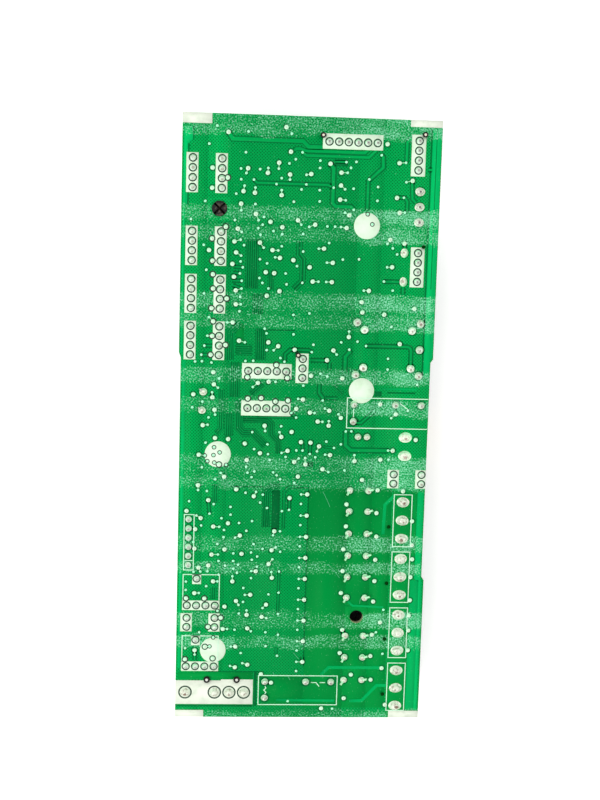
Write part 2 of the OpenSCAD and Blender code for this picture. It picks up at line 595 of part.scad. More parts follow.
module via_fillings() {
    color("gainsboro") translate([0, 0, solder_z]) linear_extrude(via_h) {
        for (p = vias_at) translate(at(p)) circle(via_r);
        for (i = [0:8], d = [0, opto_via_drop]) translate(at([opto_via_x, opto_pad(i).y - d])) circle(via_r);
    }
}

// ---- Support post ----

post_r = 3.3;
post_flange_r = 3.9;
post_flange_t = 1;
post_slot = 0.55;

module support_post() {
    plug_r = post_hole_r - 0.08;
    color("black") translate([at(post_at).x, at(post_at).y, 0]) difference() {
        union() {
            cylinder(r = post_flange_r, h = post_flange_t);
            cylinder(r = post_r, h = stand, $fn = 6);
            translate([0, 0, stand - post_flange_t]) cylinder(r = post_flange_r, h = post_flange_t);
            translate([0, 0, stand - eps]) cylinder(r = plug_r, h = board_t + eps);
            translate([0, 0, solder_z]) cylinder(r1 = plug_r, r2 = plug_r * 0.7, h = 0.5);
        }
        for (a = [45, 135]) rotate([0, 0, a]) {
            translate([0, 0, solder_z + 1]) cube([3 * post_r, post_slot, 2 * board_t + 2], center = true);
        }
    }
}

// Plain sleeve that keeps the board off its seat round the fixing screw
spacer_wall = 0.9;
spacer_clear = 0.3;

module fixing_spacer() {
    bore_r = fixing_r + spacer_clear;
    color("black") translate([at(fixing_at).x, at(fixing_at).y, 0]) linear_extrude(stand) difference() {
        circle(bore_r + spacer_wall);
        circle(bore_r);
    }
}

// ---- Signal headers ----

module signal_housing(n, boss, tone) {
    l = pitch * (n - 1) + 2 * head_end;
    slot_x = l / 2 - head_end + pitch / 2;
    color(tone) difference() {
        union() {
            linear_extrude(head_h) cut_plate(l, head_w, 0.3);
            if (len(boss) > 0) translate([-(n - 1) / 2 * pitch + boss.x, boss.y, -board_t - boss_out])
                cylinder(r = boss_r, h = board_t + boss_out + head_floor / 2);
        }
        translate([0, 0, head_floor]) linear_extrude(head_h)
            square([l - 2 * head_wall, head_w - 2 * head_wall], center = true);
        // Two polarising slots in one long wall and one wide window in the other
        for (s = [-1, 1]) translate([s * slot_x, head_w / 2, head_floor + head_h / 2])
            cube([0.8, 2 * head_wall + eps, head_h - 0.6], center = true);
        translate([0, -head_w / 2, head_h]) cube([l * 0.4, 2 * head_wall + eps, head_h * 0.5], center = true);
        // Finger notches in the end walls
        translate([0, 0, head_h]) cube([l + 1, head_w * 0.36, head_h * 0.44], center = true);
        for (q = row_pins(n, pitch)) translate(q) cube([pin_w, pin_w, 3 * head_floor], center = true);
    }
}
module signal_header(h, tone = "ivory") {
    hang(h[0], h[2]) signal_housing(h[1], h[3], tone);
}
module header_top_6way() { signal_header(head_top_6); }
module header_top_4way() { signal_header(head_top_4); }
module header_side_4way() { signal_header(head_side_4, "black"); }
module header_mid_3way() { signal_header(head_mid_3); }
module header_inner_5way_upper() { signal_header(head_in_5a); }
module header_inner_5way_lower() { signal_header(head_in_5b); }
module signal_pins() {
    color("gold") pins(signal_places, pin_w, head_h - 0.6);
}

// Bare six way strip: its body is notched between the ways
program_h = 2.5;
module program_header() {
    n = program_head[1];
    x0 = -n * pitch / 2;
    notch = 0.35;
    side = [for (i = [0:n - 1]) each
        [[x0 + i * pitch, pitch / 2 - notch], [x0 + i * pitch + notch, pitch / 2],
        [x0 + (i + 1) * pitch - notch, pitch / 2]]];
    edge = concat(side, [[-x0, pitch / 2 - notch]]);
    color("dimgray") hang(program_head[0], program_head[2]) linear_extrude(program_h) difference() {
        polygon(concat(edge, [for (i = [len(edge) - 1:-1:0]) [edge[i].x, -edge[i].y]]));
        for (q = row_pins(n, pitch)) translate(q) square(pin_w, center = true);
    }
}
module program_pins() {
    color("gold") pins(program_places, pin_w, program_h + 6);
}

// ---- Power headers ----

power_end = 1.95;
power_front = 3.9;
power_back = 4.3;
power_base_h = 2.4;
lock_t = 1.1;

// A base with the locking wall along one side. Narrow slots let the latch flex.
module power_housing(n, bosses) {
    l = power_pitch * (n - 1) + 2 * power_end;
    latch_w = power_pitch * (n - 1) - 1.2;
    color("white") difference() {
        union() {
            translate([-l / 2, -power_front, 0]) cube([l, power_front + power_back, power_base_h]);
            translate([-l / 2, power_back - lock_t, 0]) cube([l, lock_t, lock_h]);
            // Latch nose along the top of the wall
            rotate([90, 0, 90]) linear_extrude(latch_w, center = true) polygon([
                [power_back - lock_t - 0.9, lock_h - 1.6], [power_back - lock_t + eps, lock_h - 2.4],
                [power_back - lock_t + eps, lock_h]]);
            // Ribs between the ways
            for (i = [0:n]) translate([(i - n / 2) * power_pitch - 0.3, -power_front, power_base_h - eps])
                cube([0.6, 1.4, 0.8]);
            for (b = bosses) translate([b.x, b.y, -board_t - boss_out])
                cylinder(r = power_boss_r, h = board_t + boss_out + power_base_h / 2);
        }
        for (s = [-1, 1]) translate([s * (latch_w / 2 + 0.35), power_back, lock_h / 2 + power_base_h + 1])
            cube([0.5, 4 * lock_t, lock_h], center = true);
        // Relief under the base between the ways lets flux out
        for (i = [1:n - 1]) translate([(i - n / 2) * power_pitch, 0, 0])
            cube([1, power_front + power_back + 2 * lock_t, 0.7], center = true);
        for (q = row_pins(n, power_pitch)) translate(q)
            cube([power_pin_w, power_pin_w, 3 * power_base_h], center = true);
    }
}
module power_header() { hang(power_at, -90) power_housing(power_ways, []); }
module mains_header() { hang(mains_at, 180) power_housing(mains_ways, mains_bosses); }
module power_pins() {
    color("silver") pins(concat(mains_places, power_places), power_pin_w, lock_h - 1.2);
}

// ---- Output headers ----

output_end = 2.12;
output_front = 4.6;
output_back = 2.55;
output_wall = 0.9;
output_floor = 2.4;

module output_housing() {
    l = output_pitch * (output_ways - 1) + 2 * output_end;
    mid_y = (output_back - output_front) / 2;
    depth = output_back + output_front;
    color("black") difference() {
        union() {
            translate([0, mid_y, 0]) linear_extrude(output_h) cut_plate(l, depth, 0.4);
            translate([output_boss.x, output_boss.y, -board_t - 0.2])
                cylinder(r = boss_r, h = board_t + 0.2 + output_floor / 2);
        }
        translate([0, mid_y, output_floor]) linear_extrude(output_h)
            square([l - 2 * output_wall, depth - 2 * output_wall], center = true);
        // Keyways beside each way, in the wall that faces the board's edge
        for (q = row_pins(output_ways - 1, output_pitch)) translate([q.x, output_back, output_h])
            cube([1.2, 4 * output_wall, 2 * (output_h - output_floor - 2)], center = true);
        // Latch window
        translate([0, -output_front, output_h - 3.4]) cube([4.4, 4 * output_wall, 2.2], center = true);
        for (q = row_pins(output_ways, output_pitch)) translate(q)
            cube([power_pin_w, power_pin_w, 3 * output_floor], center = true);
    }
}
module output_header(i) { hang(output_at(i), -90) output_housing(); }
module output_header_1() { output_header(0); }
module output_header_2() { output_header(1); }
module output_header_3() { output_header(2); }
module output_header_4() { output_header(3); }
module output_pins() {
    color("silver") pins(output_places, power_pin_w, output_h - 1.5);
}

// ---- Dual in-line parts ----

dip_w = 6.35;
dip_low = 0.5;
dip_high = 3.9;
dip_split = 2.1;
dip_draft = 0.35;

// Moulded body: it narrows from the lead plane to both faces, and a half round marks pin 1's end
module dip_body(ways) {
    l = pitch * ways - 0.4;
    x = dip_w / 2;
    color("dimgray") difference() {
        rotate([90, 0, 0]) linear_extrude(l, center = true) polygon([
            [-x + dip_draft, dip_low], [x - dip_draft, dip_low], [x, dip_split], [x - dip_draft, dip_high],
            [-x + dip_draft, dip_high], [-x, dip_split]]);
        translate([0, l / 2, dip_high - 0.5]) cylinder(r = 0.8, h = 1);
    }
}
module optocoupler(i) { hang(dip8_at[i]) dip_body(4); }
module optocoupler_1() { optocoupler(0); }
module optocoupler_2() { optocoupler(1); }
module optocoupler_3() { optocoupler(2); }
module optocoupler_4() { optocoupler(3); }
module small_optocoupler_1() { hang(dip4_at[0]) dip_body(2); }
module small_optocoupler_2() { hang(dip4_at[1]) dip_body(2); }

// Stamped lead: wide down to the shoulder, narrow through the board
module dip_stamped_lead(side) {
    t = dip_lead.x;
    x = dip_row / 2;
    top = dip_split + t / 2;
    shoulder = 0.75;
    mirror([side < 0 ? 1 : 0, 0, 0]) {
        rotate([90, 0, 0]) linear_extrude(1.3, center = true) polygon([
            [dip_w / 2, top - t], [x - t / 2, top - t], [x - t / 2, shoulder], [x + t / 2, shoulder],
            [x + t / 2, top], [dip_w / 2, top]]);
        translate([x, 0, (shoulder - board_t - lead_out) / 2])
            cube([t, dip_lead.y, shoulder + board_t + lead_out], center = true);
    }
}
module dip_lead_set(c, ways) {
    hang(c) for (q = dip_pins(ways)) translate([0, q.y, 0]) dip_stamped_lead(sign(q.x));
}
module dip_leads() {
    color("silver") {
        for (c = dip8_at) dip_lead_set(c, 4);
        for (c = dip4_at) dip_lead_set(c, 2);
    }
}

// ---- Small sealed relays ----

small_relay_size = 9.8;
small_relay_h = 8.2;
module small_relay(i) {
    color("whitesmoke") hang(small_relay_at[i]) difference() {
        union() {
            cut_block(small_relay_size, small_relay_size, relay_gap, small_relay_h, 0.1, 0.5);
            for (x = [-1, 1], y = [-1, 1]) translate([x * 4.2, y * 2, 0]) cylinder(r = 0.4, h = 1);
        }
        translate([3.4, 3.4, small_relay_h - 0.3]) cylinder(r = 0.5, h = 1);
        for (q = small_relay_pins) translate(q)
            cube([small_relay_pin_w, small_relay_pin_w, 4], center = true);
    }
}
module small_relay_1() { small_relay(0); }
module small_relay_2() { small_relay(1); }
module small_relay_pins() {
    color("silver") pins(small_relay_places, small_relay_pin_w, 2);
}

// ---- Slim relays ----

relay_wall = 0.5;
relay_base_t = 1.3;
relay_pin_depth = relay_gap + relay_base_t;

// Cover: a closed box with chamfered top edges; a shallow recess below takes the base
module relay_cover(i) {
    color("black") hang(slim_relay_at[i]) difference() {
        cut_block(relay_l, relay_w, relay_gap, stand, 0.1, 0.6);
        translate([0, 0, relay_gap]) cube(
            [relay_l - 2 * relay_wall, relay_w - 2 * relay_wall, 2 * relay_base_t], center = true);
        // Vent nub's ring, near one end of the top
        translate([-relay_l / 2 + 2.6, relay_w / 2 - 2, stand - 0.25]) difference() {
            cylinder(r = 1, h = 1);
            cylinder(r = 0.6, h = 1);
        }
    }
}
// Base plate: it fills the recess and stands on four low feet
module relay_base(i) {
    l = relay_l - 2 * relay_wall;
    w = relay_w - 2 * relay_wall;
    color("dimgray") hang(slim_relay_at[i]) difference() {
        union() {
            translate([-l / 2, -w / 2, relay_gap]) cube([l, w, relay_base_t]);
            for (x = [-1, 1], y = [-1, 1]) translate([x * (l / 2 - 4.5), y * (w / 2 - 1), 0])
                cylinder(r = 0.6, h = relay_gap + eps);
        }
        for (q = coil_pins) translate(q) cube([coil_pin_w, coil_pin_w, 6], center = true);
        for (q = contact_pins) translate(q) cube([contact_pin_w, contact_pin_w, 6], center = true);
    }
}
module relay_cover_1() { relay_cover(0); }
module relay_cover_2() { relay_cover(1); }
module relay_base_1() { relay_base(0); }
module relay_base_2() { relay_base(1); }
module relay_pins() {
    color("silver") {
        pins(coil_places, coil_pin_w, relay_pin_depth);
        pins(contact_places, contact_pin_w, relay_pin_depth);
    }
}

// ---- Transformer ----

coil_z = 8;
leg_r = 3.4;
tube_r = 4.2;
flange_x = 6.2;
flange_t = 1;
rail_w = 3.6;
rail_h = 4;
rail_l = 17.4;
core_l = 19.8;
core_leg = 2.7;
core_back = 2.5;
core_gap = 0.1;

// Two E halves: a frame with a round middle leg along X
module transformer_core() {
    leg_y = core_w / 2 - core_leg;
    color("dimgray") hang(transformer_at) {
        difference() {
            translate([0, 0, coil_z]) cube([core_l, core_w, core_t], center = true);
            translate([0, 0, coil_z])
                cube([core_l - 2 * core_back, 2 * leg_y, core_t + 1], center = true);
        }
        translate([0, 0, coil_z]) rotate([0, 90, 0])
            cylinder(r = min(leg_r, core_t / 2), h = core_l - 2 * core_back, center = true);
    }
}

// Two pin rails, two flanges and the tube between them that the winding sits on
module transformer_bobbin() {
    flange_y = 2 * (core_w / 2 - core_leg - core_gap);
    hole_r = min(leg_r, core_t / 2) + core_gap;
    color("black") hang(transformer_at) difference() {
        union() {
            for (s = [-1, 1]) {
                translate([s * rail_x, 0, rail_h / 2 + 0.4]) cube([rail_w, rail_l, rail_h - 0.8], center = true);
                for (y = [-1, 1]) translate([s * rail_x, y * (rail_l / 2 - 0.6), 0.5])
                    cube([rail_w, 1.2, 1], center = true);
                translate([s * (flange_x + flange_t / 2), 0, coil_z])
                    cube([flange_t, flange_y, 2 * (coil_z - 1.9)], center = true);
            }
            translate([0, 0, coil_z]) rotate([0, 90, 0]) cylinder(r = tube_r, h = 2 * flange_x, center = true);
        }
        translate([0, 0, coil_z]) rotate([0, 90, 0]) cylinder(r = hole_r, h = 3 * flange_x, center = true);
        for (q = transformer_pins_at) translate(q)
            cube([transformer_pin_w, transformer_pin_w, 2 * rail_h - 1.6], center = true);
        // Wire slots in the rails beside each pin
        for (q = transformer_pins_at) translate([q.x, q.y + 1.5, rail_h])
            cube([2 * rail_w, 0.8, 2.6], center = true);
    }
}

// Wound and taped coil, a little proud in the middle where the tape's end lies
module transformer_winding() {
    l = 2 * flange_x - 0.1;
    color("gold") hang(transformer_at) translate([0, 0, coil_z]) rotate([0, 90, 0]) difference() {
        union() {
            cylinder(r = coil_d / 2 - 0.15, h = l, center = true);
            cylinder(r = coil_d / 2, h = l - 2.4, center = true);
        }
        cylinder(r = tube_r + 0.02, h = l + 1, center = true);
    }
}
module transformer_pins() {
    color("silver") pins(transformer_places, transformer_pin_w, rail_h - 0.8);
}

// ---- Two lead parts ----

electro_r = 2.5;
electro_h = 11;
electro_seat = 0.9;

// Sleeved can: crimp groove near the bottom, rounded top edge with a shallow well
module electrolytic_can() {
    color("black") hang(electrolytic_at) rotate_extrude() difference() {
        union() {
            translate([0, electro_seat]) square([electro_r, electro_h - electro_seat - 0.4]);
            translate([0, electro_h - 0.5]) square([electro_r - 0.4, 0.5]);
            translate([electro_r - 0.4, electro_h - 0.4]) circle(0.4);
        }
        translate([electro_r + 0.15, electro_seat + 1.7]) circle(0.5);
        translate([0, electro_h - 0.25]) square([electro_r - 0.6, 1]);
    }
}
module electrolytic_bung() {
    color("dimgray") hang(electrolytic_at) difference() {
        translate([0, 0, 0.3]) cylinder(r = electro_r - 0.35, h = electro_seat - 0.3);
        for (q = row_pins(2, electrolytic_pitch)) translate(q) cylinder(r = thin_lead_r, h = 3, center = true);
    }
}

film_size = [7.2, 5, 9.5];
film_seat = 0.5;
module film_capacitor() {
    color("gold") hang(film_at, 90) difference() {
        union() {
            cut_block(film_size.x, film_size.y, film_seat, film_seat + film_size.z, 0.1, 0.4);
            for (x = [-1, 1], y = [-1, 1])
                translate([x * (film_size.x / 2 - 0.5), y * (film_size.y / 2 - 0.5), film_seat / 2 + eps])
                    cube([0.7, 0.7, film_seat], center = true);
        }
        for (q = row_pins(2, film_pitch)) translate(q) cylinder(r = lead_r, h = 3, center = true);
    }
}

// Dipped disc standing on edge: its rim is round, and the coating runs down the leads
module dipped_disc(d, t, step, seat) {
    difference() {
        union() {
            translate([0, 0, seat + d / 2]) rotate([90, 0, 0]) translate([0, 0, -t / 2]) rotate_extrude() {
                square([d / 2 - t / 3, t]);
                intersection() {
                    translate([d / 2 - t / 2, t / 2]) circle(t / 2);
                    square([d / 2, t]);
                }
            }
            for (s = [-1, 1]) translate([s * step / 2, 0, seat * 0.8])
                cylinder(r = 2.4 * lead_r, h = seat * 0.2 + d / 4);
        }
        for (s = [-1, 1]) translate([s * step / 2, 0, 0])
            cylinder(r = lead_r, h = 2 * (seat * 0.8 + 0.6), center = true);
    }
}
disc_seat = 1.6;
ceramic_d = 9;
ceramic_t = 2.6;
module varistors() {
    color("steelblue") for (y = channel_y) hang([channel_x, y])
        dipped_disc(disc_d, disc_t, disc_pitch, disc_seat);
}
module ceramic_capacitor() {
    color("steelblue") hang(ceramic_at, 90) dipped_disc(ceramic_d, ceramic_t, ceramic_pitch, disc_seat);
}

// Resistance welded crystal can: a rounded lid on a flange
crystal_l = 10.2;
crystal_w = 3.8;
crystal_h = 3.6;
module stadium(l, w, h) {
    translate([0, 0, h / 2]) cube([l - w, w, h], center = true);
    for (s = [-1, 1]) translate([s * (l - w) / 2, 0, 0]) cylinder(r = w / 2, h = h);
}
module crystal_can() {
    color("lightgray") hang(crystal_at, 87) {
        difference() {
            translate([0, 0, 0.3]) stadium(crystal_l + 0.9, crystal_w + 0.9, 0.45);
            for (q = row_pins(2, crystal_pitch)) translate(q)
                cylinder(r = thin_lead_r, h = 2, center = true);
        }
        translate([0, 0, 0.75]) stadium(crystal_l, crystal_w, crystal_h - 0.75);
    }
}

// A round lead through the board, straight or bent over
module straight_lead(q, r, top) {
    translate([q.x, q.y, stand - top]) cylinder(r = r, h = top + board_t + lead_out);
}
module bent_lead(q, r, top, a) {
    translate([q.x, q.y, stand - top]) cylinder(r = r, h = top + board_t + clinch_rise);
    soldered(q) clinch(r, a);
}
module radial_leads() {
    color("silver") {
        for (q = electrolytic_places) straight_lead(q, thin_lead_r, electro_seat);
        for (q = film_places) straight_lead(q, lead_r, 1.5);
        for (q = ceramic_places) straight_lead(q, lead_r, disc_seat * 0.8 + 0.6);
        for (q = crystal_places) bent_lead(q, thin_lead_r, 0.75, crystal_clinch);
    }
}
module varistor_leads() {
    color("silver") for (i = [0:len(varistor_places) - 1])
        bent_lead(varistor_places[i], lead_r, disc_seat * 0.8 + 0.6, i % 2 == 0 ? left_clinch : right_clinch);
}

// ---- Surface parts ----

// Gull wing lead in the XZ plane: out of the body at height z, down and out onto its pad
module gull(z, t, w, reach) {
    knee = reach * 0.34;
    foot = reach * 0.56;
    rotate([90, 0, 0]) linear_extrude(w, center = true) polygon([
        [0, z], [knee, z], [foot, 0], [reach, 0], [reach, t], [foot + t * 0.8, t],
        [knee + t * 0.8, z + t], [0, z + t]]);
}

// Leads along both X sides of a body w wide: n a side
module gull_sides(w, n, step, z, t, lead_w, reach) {
    for (s = [0, 180], i = [0:n - 1])
        rotate([0, 0, s]) translate([w / 2, (i - (n - 1) / 2) * step, 0]) gull(z, t, lead_w, reach);
}

// Moulded body drawn in at both faces from the lead plane
module moulded(l, w, z0, z1, mid, draft) {
    intersection() {
        rotate([90, 0, 0]) linear_extrude(w + eps, center = true) drafted(l, z0, z1, mid, draft);
        rotate([90, 0, 90]) linear_extrude(l + eps, center = true) drafted(w, z0, z1, mid, draft);
    }
}
module drafted(w, z0, z1, mid, draft) {
    x = w / 2;
    polygon([[-x + draft, z0], [x - draft, z0], [x, mid], [x - draft, z1], [-x + draft, z1], [-x, mid]]);
}

opto_size = [6.4, 4.6, 3.5];
opto_lead = [0.25, 0.5, 1.6];
opto_lead_z = 1.7;
controller_size = 10;
controller_h = 1.5;
controller_pitch = 0.5;
controller_side = 16;
controller_lead = [0.13, 0.22, 1];
driver_size = [3.9, 9.9, 1.6];
driver_side = 8;
driver_pitch = 1.27;
driver_lead = [0.2, 0.42, 1.05];

module optotriacs() {
    color("whitesmoke") for (i = [0:8]) hang(opto_at(i)) difference() {
        moulded(opto_size.x, opto_size.y, 0.1, opto_size.z + 0.1, opto_lead_z, 0.25);
        translate([-opto_size.x / 2 + 1, opto_size.y / 2 - 1, opto_size.z]) cylinder(r = 0.35, h = 1);
    }
}
module controller() {
    half = controller_size / 2;
    color("dimgray") hang(controller_at) difference() {
        moulded(controller_size, controller_size, 0.1, controller_h, 0.75, 0.15);
        translate([half - 1.2, half - 1.2, controller_h - 0.1]) cylinder(r = 0.5, h = 1);
    }
}
module driver_chips() {
    color("dimgray") for (c = driver_at) hang(c) difference() {
        moulded(driver_size.x, driver_size.y, 0.1, driver_size.z, 0.8, 0.15);
        translate([-1.2, driver_size.y / 2 - 0.9, driver_size.z - 0.1]) cylinder(r = 0.4, h = 1);
    }
}
module gull_leads() {
    color("silver") {
        for (i = [0:8]) hang(opto_at(i))
            gull_sides(opto_size.x, 2, 2.54, opto_lead_z, opto_lead.x, opto_lead.y, opto_lead.z);
        for (a = [0, 90]) hang(controller_at, a) gull_sides(controller_size, controller_side,
            controller_pitch, 0.7, controller_lead.x, controller_lead.y, controller_lead.z);
        for (c = driver_at) hang(c) gull_sides(driver_size.x, driver_side, driver_pitch, 0.7,
            driver_lead.x, driver_lead.y, driver_lead.z);
    }
}

bulk_r = 4;
bulk_h = 10;
bulk_base = 8.3;
module bulk_capacitors() {
    color("silver") for (c = bulk_at) hang(c) {
        linear_extrude(1.4) cut_plate(bulk_base, bulk_base, 1);
        translate([0, 0, 1.4]) rotate_extrude() difference() {
            union() {
                square([bulk_r, bulk_h - 1.9]);
                translate([0, bulk_h - 2]) square([bulk_r - 0.5, 0.6]);
                translate([bulk_r - 0.5, bulk_h - 1.9]) circle(0.5);
            }
            translate([bulk_r + 0.15, 1.3]) circle(0.5);
        }
    }
}

// Chip parts: a ceramic body between two plated ends
chip_l = 2;
chip_w = 1.25;
chip_end = 0.35;
resistor_t = 0.5;
capacitor_t = 0.85;
module chip_places(rows) {
    for (r = rows, i = [0:r[1] - 1]) hang(r[0] + i * r[2], r[3]) children();
}
module chip_body(t) {
    translate([0, 0, t / 2]) cube([chip_l - 2 * chip_end, chip_w, t], center = true);
}
module chip_caps(t) {
    for (s = [-1, 1]) translate([s * (chip_l - chip_end) / 2, 0, t / 2])
        cube([chip_end, chip_w, t], center = true);
}
module chip_bodies() {
    color("dimgray") {
        chip_places(resistor_rows) chip_body(resistor_t);
        chip_places(capacitor_rows) chip_body(capacitor_t);
    }
}
module chip_ends() {
    color("silver") {
        chip_places(resistor_rows) chip_caps(resistor_t);
        chip_places(capacitor_rows) chip_caps(capacitor_t);
    }
}

board();
solder_signal();
solder_power();
solder_leads();
test_pads();
via_fillings();
support_post();
fixing_spacer();
header_top_6way();
header_top_4way();
header_side_4way();
header_mid_3way();
header_inner_5way_upper();
header_inner_5way_lower();
signal_pins();
program_header();
program_pins();
power_header();
mains_header();
power_pins();
output_header_1();
output_header_2();
output_header_3();
output_header_4();
output_pins();
optocoupler_1();
optocoupler_2();
optocoupler_3();
optocoupler_4();
small_optocoupler_1();
small_optocoupler_2();
dip_leads();
small_relay_1();
small_relay_2();
small_relay_pins();
relay_cover_1();
relay_cover_2();
relay_base_1();
relay_base_2();
relay_pins();
transformer_core();
transformer_bobbin();
transformer_winding();
transformer_pins();
electrolytic_can();
electrolytic_bung();
film_capacitor();
ceramic_capacitor();
crystal_can();
radial_leads();
varistors();
varistor_leads();
optotriacs();
controller();
driver_chips();
gull_leads();
bulk_capacitors();
chip_bodies();
chip_ends();
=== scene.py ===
"""Control board, solder side up: mask, copper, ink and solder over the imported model, and finishes for every part."""
import json
import logging
from dataclasses import dataclass
from enum import Enum
from typing import Any, Sequence

import bpy
import numpy as np
from mathutils import Matrix, Vector


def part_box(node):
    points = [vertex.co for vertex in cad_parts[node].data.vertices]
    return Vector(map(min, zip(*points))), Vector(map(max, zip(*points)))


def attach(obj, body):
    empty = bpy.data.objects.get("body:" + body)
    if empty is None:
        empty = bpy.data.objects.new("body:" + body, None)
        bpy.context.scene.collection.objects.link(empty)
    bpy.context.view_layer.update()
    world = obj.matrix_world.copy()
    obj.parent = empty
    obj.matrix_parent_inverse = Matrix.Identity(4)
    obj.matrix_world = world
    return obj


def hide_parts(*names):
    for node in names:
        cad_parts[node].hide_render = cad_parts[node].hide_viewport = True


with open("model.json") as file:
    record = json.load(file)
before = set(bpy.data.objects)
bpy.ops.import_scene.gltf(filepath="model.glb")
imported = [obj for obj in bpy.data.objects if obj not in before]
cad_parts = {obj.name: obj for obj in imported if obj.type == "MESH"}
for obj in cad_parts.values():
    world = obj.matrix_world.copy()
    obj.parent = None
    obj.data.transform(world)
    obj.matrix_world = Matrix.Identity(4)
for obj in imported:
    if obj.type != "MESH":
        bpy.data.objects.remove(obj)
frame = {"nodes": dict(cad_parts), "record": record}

LOG = logging.getLogger("control_board")
# Points in the plane, and the heights of the lower and the upper face of a layer, in millimetres
Path = Sequence[tuple[float, float]]
Span = tuple[float, float]
MM = 0.001
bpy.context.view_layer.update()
# The artwork's centre lies this far to the right of the laminate's
ARTWORK_X = 0.15
# Cut leads lie this share of a joint's radius off its middle, and differ by as much as the spread
LEAD_LEAN = (0.06, -0.16)
LEAN_SPREAD = 0.09
# The dull end of a lead differs from joint to joint between these shares
TIP_SPREAD = (0.76, 1.14)
# Width and bare gap of the lines in a bundle, as shares of their pitch
FINE_WIDTH, FINE_GAP = 0.46, 0.268
# Power joints at least this long are the wide ones
WIDE_L = 2.6
# How far the shadow round a peg reaches beyond it: on the mains header, on black housings and on the others
PEG_CLEAR = (0.35, 0.03, 0.25)
# Full circle and the seed that all small irregularities come from
TURN = 2 * np.pi
SEED = 20
# Pitch of the hatched copper
HATCH_MM = 0.592
# The mask's tone and the flux are given over this half width and half length, in millimetres
REACH = (33.5, 81.0)
# Half of the hair that is left between plates whose edges would meet, in millimetres
SEAM = 0.001
# Half the side of the square round a hole that is filled in rings
PATCH_HALF = 3.2
# Radius of the opening round the support post, and how far the fixing hole's opening stands back
POST_R = 2.02
FIXING_BACK = 0.02
# How far ink keeps inside the laminate's edge
INSET = 0.02
# Turned shells are shaded smooth over edges up to this angle
SHARP = np.radians(60)


# ---------------------------------------------------------------- meshes


@dataclass
class Shell:
    """Closed surface: points in millimetres, and arrays of faces, each array with one number of corners.

    The tip of a point runs from 0 at a joint's rim to 1 at the cut end of its lead.
    """

    points: np.ndarray
    faces: list[np.ndarray]
    tip: np.ndarray | None = None


def joined(shells: Sequence[Shell]) -> Shell:
    """Puts several shells in one list of points and faces.

    Args:
        shells: the closed surfaces.

    Returns:
        One shell that holds them all.
    """
    starts = np.cumsum([0] + [len(s.points) for s in shells[:-1]])
    faces = [f + start for s, start in zip(shells, starts) for f in s.faces]
    tips = None if shells[0].tip is None else np.concatenate([s.tip for s in shells])
    return Shell(np.concatenate([s.points for s in shells]), faces, tips)


def quads(index: np.ndarray, wrap_a: bool = False, wrap_b: bool = False) -> np.ndarray:
    """Faces of a grid of points.

    Args:
        index: point numbers, shape (..., a, b).
        wrap_a: whether the last row joins the first.
        wrap_b: whether the last column joins the first.

    Returns:
        Quads (a, b), (a+1, b), (a+1, b+1), (a, b+1), one a row.
    """
    if wrap_a:
        index = np.concatenate([index, index[..., :1, :]], -2)
    if wrap_b:
        index = np.concatenate([index, index[..., :, :1]], -1)
    corners = (index[..., :-1, :-1], index[..., 1:, :-1], index[..., 1:, 1:], index[..., :-1, 1:])
    return np.stack(corners, -1).reshape(-1, 4)


def turned(centres: np.ndarray, profile: Path, segments: int,
           stretch: np.ndarray | float = 0.0, wobble: float = 0.0) -> Shell:
    """Turns one profile about each centre.

    Point (c, j, k) is centre c + r_j (1 + w) (cos t_k, sin t_k) at height z_j, and w is a sum of two waves round the
    axis whose phases differ from centre to centre. A stretch makes the rim an ellipse that is longer along X, and
    shrinks inwards, so that the top stays round.

    Args:
        centres: shape (n, 3), the axis and the lowest height.
        profile: (radius, height) pairs from the rim up to the last ring, which is closed by a flat cap.
        segments: points round the axis.
        stretch: half of the length that is added along X, for each centre.
        wobble: share of the radius that the waves take.

    Returns:
        One closed shell a centre.
    """
    profile_mm = np.array(profile)
    n, rings = len(centres), len(profile_mm)
    angle = np.arange(segments) / segments * TURN
    random = np.random.default_rng(SEED)
    phase = random.uniform(0, TURN, (n, 2, 1))
    lean = random.normal(0, LEAN_SPREAD, (2, n, 1, 1)) + np.array(LEAD_LEAN)[:, None, None, None]
    wave = 1 + wobble * (np.sin(2 * angle + phase[:, 0]) + 0.6 * np.sin(3 * angle + phase[:, 1]))
    radius = profile_mm[None, :, 0, None] * wave[:, None, :]
    longer = np.broadcast_to(stretch, n)[:, None, None] * (radius / profile_mm[0, 0]) ** 1.5
    x = centres[:, None, None, 0] + (radius + longer) * np.cos(angle)
    y = centres[:, None, None, 1] + radius * np.sin(angle)
    z = np.broadcast_to(centres[:, None, None, 2] + profile_mm[None, :, 1, None], x.shape)
    inward = radius / profile_mm[0, 0]
    tip = 1 - np.hypot(inward * np.cos(angle) - lean[0], inward * np.sin(angle) - lean[1])
    tip = tip * random.uniform(*TIP_SPREAD, (n, 1, 1))
    points = np.stack([x, y, z], -1).reshape(-1, 3)
    index = np.arange(n * rings * segments).reshape(n, rings, segments)
    walls = quads(np.swapaxes(index, 1, 2), wrap_a=True)
    return Shell(points, [walls, index[:, 0, ::-1], index[:, -1]], tip.reshape(-1))


